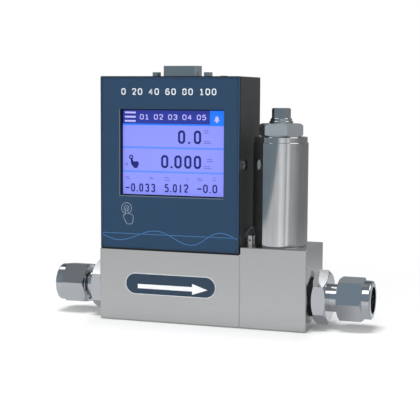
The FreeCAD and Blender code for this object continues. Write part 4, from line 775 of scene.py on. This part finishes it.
# %% Screen unit marks and touch hint
marks = [patch(*limits) for limits in (
    (0.95, 114.35, 3.95, 114.75), (0.95, 115.6, 3.6, 116.0), (0.95, 108.2, 5.7, 108.6),
    (0.95, 109.35, 4.9, 109.7), (2.95, 97.5, 6.6, 97.9), (2.95, 98.8, 6.2, 99.15),
    (0.95, 93.3, 5.8, 93.7), (0.95, 94.5, 5.0, 94.85), (-49.15, 86.1, -46.2, 86.45),
    (-49.15, 87.2, -46.9, 87.55), (-33.55, 86.45, -31.0, 86.8), (-33.55, 87.35, -31.6, 87.65),
    (-24.05, 85.75, -20.5, 86.1), (-24.05, 87.2, -21.2, 87.6), (-9.85, 86.3, -8.6, 86.65),
    (-9.85, 87.4, -8.9, 87.7), (-3.1, 86.3, 0.45, 86.65), (-3.1, 87.4, -0.4, 87.7),
    (6.7, 86.5, 8.8, 86.85), (6.7, 87.9, 8.3, 88.2))]
hint = [bar(ring(-45.5, 99.35, 1.05, 28), 0.7, True),
        bar(ring(-48.35, 95.0, 0.75, 20), 0.25, True),
        plate([(-45.9, 98.9), (-45.1, 98.9), (-44.7, 96.6), (-41.0, 96.9), (-40.4, 95.2),
               (-41.6, 92.8), (-43.6, 92.8), (-45.6, 95.4)])]
on_screen("screen_marks", marks, 3, "faint")
on_screen("screen_touch_hint", hint, 3, "digits")

# %% [markdown]
# ## Print on the front film
# The film carries a row of plain numbers above the screen, a hand that shows where to touch,
# a straight line and a wave. They are silk-screened, so they are as thin as ink, and lie just
# in front of the film. A pale line at the window's left and bottom is laid the same way: it is
# a painted highlight on the window's cut edge.

# %% Panel numbers and touching hand
PANEL, INK_THICK = -21.0, 0.02
THIN, WIDE = 0.36, 0.42
TOUCH = (-47.3, 68.5)
panel_ink = {"pale": ink("pale_panel_ink", shade(222, 228, 234)),
             "grey": ink("grey_panel_ink", shade(140, 156, 172)),
             "light": ink("light_blue_panel_ink", shade(68, 120, 172)),
             # The edge ink draws a painted highlight on the window's cut edge.
             "edge": ink("pale_painted_highlight_ink", shade(104, 120, 136))}


def on_panel(name, shapes, finish):
    """Lay ink on the front film."""
    return printed(name, shapes, PANEL - INK_THICK, INK_THICK, panel_ink[finish])


on_panel("panel_numbers",
         number("0 20 40 60 80 100", -50.6, 136.8, 9.5, 140.7, 0.68, 1.0), "pale")
touch = [bar(ring(*TOUCH, radius), THIN, True) for radius in (1.6, 3.3)]
hand = np.array([(-0.8, 0.3), (-0.8, -4.6), (-1.9, -3.9), (-2.3, -4.9), (-0.6, -8.3), (0.2, -9.6),
                 (3.5, -9.6), (4.2, -7.8), (4.5, -3.9), (0.8, -3.1), (0.8, 0.3)]) + TOUCH
touch.append(bar(soften(soften(hand, True), True), THIN, True))
on_panel("panel_touch_hand", touch, "grey")

# %% Line, wave and painted highlight on the window edge
LINE_LEFT, LINE_RIGHT, LINE_Z = -63.2, 23.0, 53.1
wave_x = np.linspace(LINE_LEFT, LINE_RIGHT, 90)
crests = np.array([(-75.0, 55.6), (-52.3, 49.05), (-28.5, 55.3), (-5.8, 47.7), (12.3, 55.75),
                   (34.0, 48.5)])


def smooth_through(knots, at):
    """A wave through its crests and troughs: between two, the height follows half a cosine."""
    place = np.clip(np.searchsorted(knots[:, 0], at) - 1, 0, len(knots) - 2)
    share = np.clip((at - knots[place, 0]) / (knots[place + 1, 0] - knots[place, 0]), 0, 1)
    share = (1 - np.cos(np.pi * share)) / 2
    return knots[place, 1] + share * (knots[place + 1, 1] - knots[place, 1])


wave = np.column_stack([wave_x, smooth_through(crests, wave_x)])
on_panel("panel_wave", [bar(wave, WIDE)], "light")
on_panel("panel_line", [bar([(LINE_LEFT, LINE_Z), (LINE_RIGHT, LINE_Z)], THIN)], "light")
# A pale bar at the window's left and bottom: painted highlight on its cut edge.
on_panel("painted_window_highlight", [bar([(-51.75, 128.3), (-51.75, 76.0), (14.4, 76.0)], WIDE)], "edge")

# %% [markdown]
# ## The studio
# Polished metal only shows what stands around it. The photograph has a pale table whose
# edge runs slantwise past the left, blue-grey darkness beyond, a dim right side and soft
# light from high in front. So the room is a dome and a table whose light is worked out for
# every direction, and only reflections see them. Soft lamps, which reflections do not see,
# light the paint. Each can then be set without spoiling the other.

# %% Smooth changes and tints
def bell_curve(value, middle, width):
    """1 at the middle, falling off smoothly to both sides."""
    return np.exp(-(((value - middle) / width) ** 2))


def step(value, edge, width):
    """0 below the edge and 1 above it, with a smooth change as wide as the width."""
    share = np.clip((value - edge) / width + 0.5, 0, 1)
    return share * share * (3 - 2 * share)


def tinted(level, tint):
    """A grid of levels times one tint, with full alpha."""
    return np.concatenate([level[..., None] * np.array(tint), np.ones(level.shape + (1,))], axis=-1)


def heading(azimuth):
    """The way an azimuth looks, as X and Y: 0 is to the front and 90 to the right."""
    return np.sin(np.radians(azimuth)), -np.cos(np.radians(azimuth))


NEUTRAL, COOL = (1.0, 1.0, 1.0), (0.965, 1.0, 1.035)
BLUE_GREY, WARM = (0.78, 1.0, 1.18), (1.06, 1.0, 0.93)
print("45 degrees look along", [round(float(part), 3) for part in heading(45)])

# %% [markdown]
# The blocks' faces mirror the table close to them, so its shade counts: it is darkest right
# at the base, fades within a few centimetres, and is a little lighter at the base's ends.
# Further off the table is pale towards the camera and dims to the right.

# %% Light on the table
TABLE_EDGE, ACROSS_EDGE = (-0.43, -0.35), (0.961, 0.278)
BASE_HALF_DEEP, SHADE_REACH, NEARBY = 0.021, 0.045, 0.15
NEAR_LEVEL, BEYOND_LEVEL = 0.715, 0.22


def table_light(azimuth, distance):
    """Pale towards the camera, dim to the right, blue-grey beyond the slanting left edge.

    In front the level is a middle one plus bells and steps of the azimuth and the distance.
    Behind it falls off with the distance. Near the part it gives way, by a bell of the
    distance, to one level less the contact shade and the shadow under the part.
    """
    x, y = (distance * part for part in heading(azimuth))
    inside = step(ACROSS_EDGE[0] * (x - TABLE_EDGE[0]) + ACROSS_EDGE[1] * (y - TABLE_EDGE[1]),
                  0.0, 0.06)[..., None]
    front = (0.56 + 0.25 * bell_curve(azimuth, 20, 10) * step(distance, 0.25, 0.1)
             + 0.2 * bell_curve(azimuth, 46, 5) - 0.2 * bell_curve(azimuth, 37.5, 2)
             - 0.18 * step(azimuth, 54, 12) - 0.16 * step(azimuth, 82, 40)
             + 0.05 * bell_curve(distance, 0.33, 0.2))
    behind = 0.2 + 0.95 * np.exp(-distance / 0.17)
    level = np.where(np.abs(azimuth) > 100, behind, front)
    under = np.exp(-((distance / NEARBY) ** 2))
    shadow = (1 - step(np.abs(x), 0.086, 0.01)) * (1 - step(np.abs(y), 0.022, 0.015))
    contact = ((0.34 - 0.12 * step(np.abs(x), 0.075, 0.02))
               * np.exp(-np.maximum(np.abs(y) - BASE_HALF_DEEP, 0) / SHADE_REACH))
    close = NEAR_LEVEL * (1 - contact) - 0.24 * shadow
    pale = tinted(level * (1 - under) + close * under, COOL)
    beyond = tinted(np.full_like(distance, BEYOND_LEVEL), BLUE_GREY)
    return pale * inside + beyond * (1 - inside)


print("table level 0.3 m in front:",
      np.round(table_light(np.array([0.0]), np.array([0.3]))[0, :3], 2))

# %% [markdown]
# The fittings and the coil can mirror the room above the table. Overhead hang three soft
# boxes: a wide one in front, one at the left and one at the right. Their straight edges
# give polished metal its long, sharp highlights.

# %% Light in the room
BOX_LEVEL = 1.6
SOFT_BOXES = [(-0.38, 0.5, -1.0, -0.42), (-0.8, -0.2, 0.0, 0.376), (0.32, 1.3, -0.2, 0.6)]


def room_light(azimuth, height):
    """The dome by azimuth and angle above the table: blue-grey walls, warm overhead, soft boxes.

    A soft box is a rectangle on a level ceiling one unit up. A direction meets that ceiling
    as far out as the cotangent of its height, to the right by its sine and back by its cosine.
    """
    front = bell_curve(azimuth, -15, 75)
    wall = tinted(0.1 + 0.16 * front * (1 - step(height, 50, 10)), BLUE_GREY)
    low = tinted(0.2 * (1 - front) * (1 - step(height, 30, 12)), NEUTRAL)
    above = tinted(0.1 * step(height, 50, 10), WARM)
    out = 1 / np.tan(np.radians(np.maximum(height, 0.5)))
    right, back = (out * part for part in heading(azimuth))
    boxes = sum(BOX_LEVEL * step(right, left_edge, 0.05) * (1 - step(right, right_edge, 0.05))
                * step(back, near_edge, 0.05) * (1 - step(back, far_edge, 0.02))
                for left_edge, right_edge, near_edge, far_edge in SOFT_BOXES)
    return wall + low + above + tinted(boxes, NEUTRAL)


print("room level straight up:", np.round(room_light(np.array([0.0]), np.array([89.9]))[0, :3], 2))

# %% [markdown]
# Both are grids of points with a colour for each point. The dome's points lie evenly by
# angle. The table's rows start near the part and spread with the distance.

# %% Dome and table
def lit_surface(name, places, colours):
    """A grid of points that glows with a colour per point and that only reflections see."""
    rows, columns = places.shape[:2]
    here = (np.arange(rows - 1)[:, None] * columns + np.arange(columns - 1)[None, :]).ravel()
    faces = np.stack([here, here + 1, here + columns + 1, here + columns], axis=1)
    mesh = bpy.data.meshes.new(name)
    mesh.from_pydata(places.reshape(-1, 3).tolist(), [], faces.tolist())
    light = mesh.attributes.new("light", "FLOAT_COLOR", "POINT")
    light.data.foreach_set("color", colours.reshape(-1).astype(np.float32))
    finish = Finish(name)
    seen = finish.node("ShaderNodeAttribute", {"attribute_name": "light"}, None, "Color")
    glow = finish.node("ShaderNodeEmission", None, {"Color": seen, "Strength": 1.0})
    mesh.materials.append(finish.surface(glow).material)
    piece = bpy.data.objects.new(name, mesh)
    bpy.context.collection.objects.link(piece)
    for kind in ("camera", "diffuse", "transmission", "volume_scatter", "shadow"):
        setattr(piece, "visible_" + kind, False)


FAR, TABLE_Z = 6.0, -0.002
azimuth, distance = np.meshgrid(np.linspace(-180, 180, 361), np.geomspace(0.01, FAR, 120))
to_right, to_back = heading(azimuth)
places = [distance * to_right, distance * to_back, np.full_like(azimuth, TABLE_Z)]
lit_surface("reflected_table", np.stack(places, axis=-1), table_light(azimuth, distance))

azimuth, height = np.meshgrid(np.linspace(-180, 180, 721), np.linspace(-1, 90, 183))
to_right, to_back = heading(azimuth)
flat, rise = np.cos(np.radians(height)), np.sin(np.radians(height))
places = FAR * np.stack([flat * to_right, flat * to_back, rise], axis=-1)
lit_surface("reflected_room", places, room_light(azimuth, height))
print("points of the room:", azimuth.size)

# %% [markdown]
# The floor the camera sees must be white up to the horizon and still show a soft shadow.
# A lit white surface alone would turn grey far away, so near the part it is mostly lit by
# the lamps, and further out it turns into a plain white glow, sooner behind than beside it.
# Round the base a soft, slightly darker zone stands for the light that the part keeps off.

# %% Floor
FLOOR_Z, BASE_HALF_WIDE, GREY_REACH, SIDEWAYS = -0.0005, 0.062, 0.08, 2.5
LAMP_LIT, BASE_GREY = (0.96, 0.96, 0.96, 1.0), (0.74, 0.74, 0.74, 1.0)
WHITE_STRETCH, WHITE_MIDDLE, WHITE_WIDTH, WHITE_LEAST = (0.8, 2.5, 1.0), 0.42, 0.5, 0.12
corners = [(x * FAR, y * FAR, FLOOR_Z) for x, y in ((-1, -1), (1, -1), (1, 1), (-1, 1))]
floor_mesh = bpy.data.meshes.new("floor")
floor_mesh.from_pydata(corners, [], [(0, 1, 2, 3)])
floor_finish = Finish("white_floor")
x, y, _ = floor_finish.axes(floor_finish.place)
beside_x = (x.absolute() - BASE_HALF_WIDE).larger(0.0) * SIDEWAYS
beside_y = (y.absolute() - BASE_HALF_DEEP).larger(0.0)
off_base = (beside_x ** 2 + beside_y ** 2) ** 0.5
near = (1.0 - off_base * (1 / GREY_REACH)).larger(0.0)
floor_finish.set(Base_Color=floor_finish.mix(near ** 2, LAMP_LIT, BASE_GREY),
                 Roughness=0.8, Specular_IOR_Level=0.0)
shine = floor_finish.node("ShaderNodeEmission", None, {"Color": (1, 1, 1, 1), "Strength": 1.0})
lit = Value(floor_finish, floor_finish.shader.outputs[0])
stretched = floor_finish.node("ShaderNodeVectorMath", {"operation": "MULTIPLY"},
                              {0: floor_finish.place, 1: WHITE_STRETCH})
far = floor_finish.node("ShaderNodeVectorMath", {"operation": "LENGTH"}, {0: stretched}, "Value")
white = far.above(WHITE_MIDDLE, WHITE_WIDTH) * (1 - WHITE_LEAST) + WHITE_LEAST
seen = floor_finish.node("ShaderNodeLightPath", output="Is Camera Ray")
mixed = floor_finish.node("ShaderNodeMixShader", None, {0: seen * white, 1: lit, 2: shine})
floor_mesh.materials.append(floor_finish.surface(mixed).material)
floor = bpy.data.objects.new("floor", floor_mesh)
bpy.context.collection.objects.link(floor)
floor.visible_glossy = False
print("the floor is white from", round((WHITE_MIDDLE + WHITE_WIDTH / 2) / WHITE_STRETCH[1], 3),
      "m behind the part")

# %% [markdown]
# ## Air and lamps
# The air beyond the floor is plain white to the camera, but gives the paint only a third of
# that light, so the two lamps still model it. One hangs above the meter and one stands in
# front at the left. Reflections see neither of these, only the dome and the table.

# %% World and lamps
AIR, MIDDLE = 0.32, Vector((0, 0, 0.07))
world = bpy.data.worlds.new("studio_air")
bpy.context.scene.world = world
world.use_nodes = True
air = Nodes(world.node_tree)
rays = air.node("ShaderNodeLightPath")
mirrored = rays.output("Is Glossy Ray").larger(rays.output("Is Transmission Ray"))
backdrop = rays.output("Is Camera Ray").larger(mirrored)
background = world.node_tree.nodes["Background"]
air.feed(background.inputs["Color"], (1, 1, 1, 1))
air.feed(background.inputs["Strength"], backdrop * (1 - AIR) + AIR)
world.cycles_visibility.glossy = False


def lamp(name, place, size, watts):
    """A square soft lamp that looks at the meter's middle."""
    light = bpy.data.lights.new(name, "AREA")
    light.size, light.energy = size, watts
    piece = bpy.data.objects.new(name, light)
    bpy.context.collection.objects.link(piece)
    place = Vector(place)
    turn = (place - MIDDLE).to_track_quat("Z", "Y").to_matrix().to_4x4()
    piece.matrix_world = Matrix.Translation(place) @ turn
    piece.visible_glossy = False


lamp("soft_above", (-0.05, -0.3, 1.5), 0.55, 17.5)
lamp("soft_front", (-0.3, -1.7, 0.9), 1.3, 12.5)
print("lamps:", [light.name for light in bpy.data.lights])

# %% [markdown]
# ## The camera
# The photograph's viewpoint was found by matching known corners of the part to their pixels:
# 18.6 degrees to the right of straight ahead, 5.7 degrees downwards and rolled by a third
# of a degree, from 0.7 m away through a 98 mm lens. Building the matrix from those angles
# keeps the view exact.

# %% Camera
LENS, SENSOR, NEAREST = 98.0, 36.0, 0.05
VIEWPOINT = Vector((0.220805, -0.657730, 0.136410))
AZIMUTH, DOWN, ROLL = (math.radians(angle) for angle in (18.64, 5.70, 0.34))
ahead = Vector((-math.sin(AZIMUTH) * math.cos(DOWN), math.cos(AZIMUTH) * math.cos(DOWN),
                -math.sin(DOWN)))
level_right = Vector((math.cos(AZIMUTH), math.sin(AZIMUTH), 0))
level_up = level_right.cross(ahead)
camera_right = level_right * math.cos(ROLL) + level_up * math.sin(ROLL)
camera_up = level_up * math.cos(ROLL) - level_right * math.sin(ROLL)
lens = bpy.data.cameras.new("camera")
lens.lens, lens.sensor_width, lens.clip_start = LENS, SENSOR, NEAREST
camera = bpy.data.objects.new("camera", lens)
bpy.context.collection.objects.link(camera)
turned = Matrix((camera_right, camera_up, -ahead)).transposed().to_4x4()
camera.matrix_world = Matrix.Translation(VIEWPOINT) @ turned
bpy.context.scene.camera = camera
bpy.context.scene.view_settings.view_transform = "Standard"
print("camera to the meter's middle:", round((VIEWPOINT - MIDDLE).length, 3), "m")
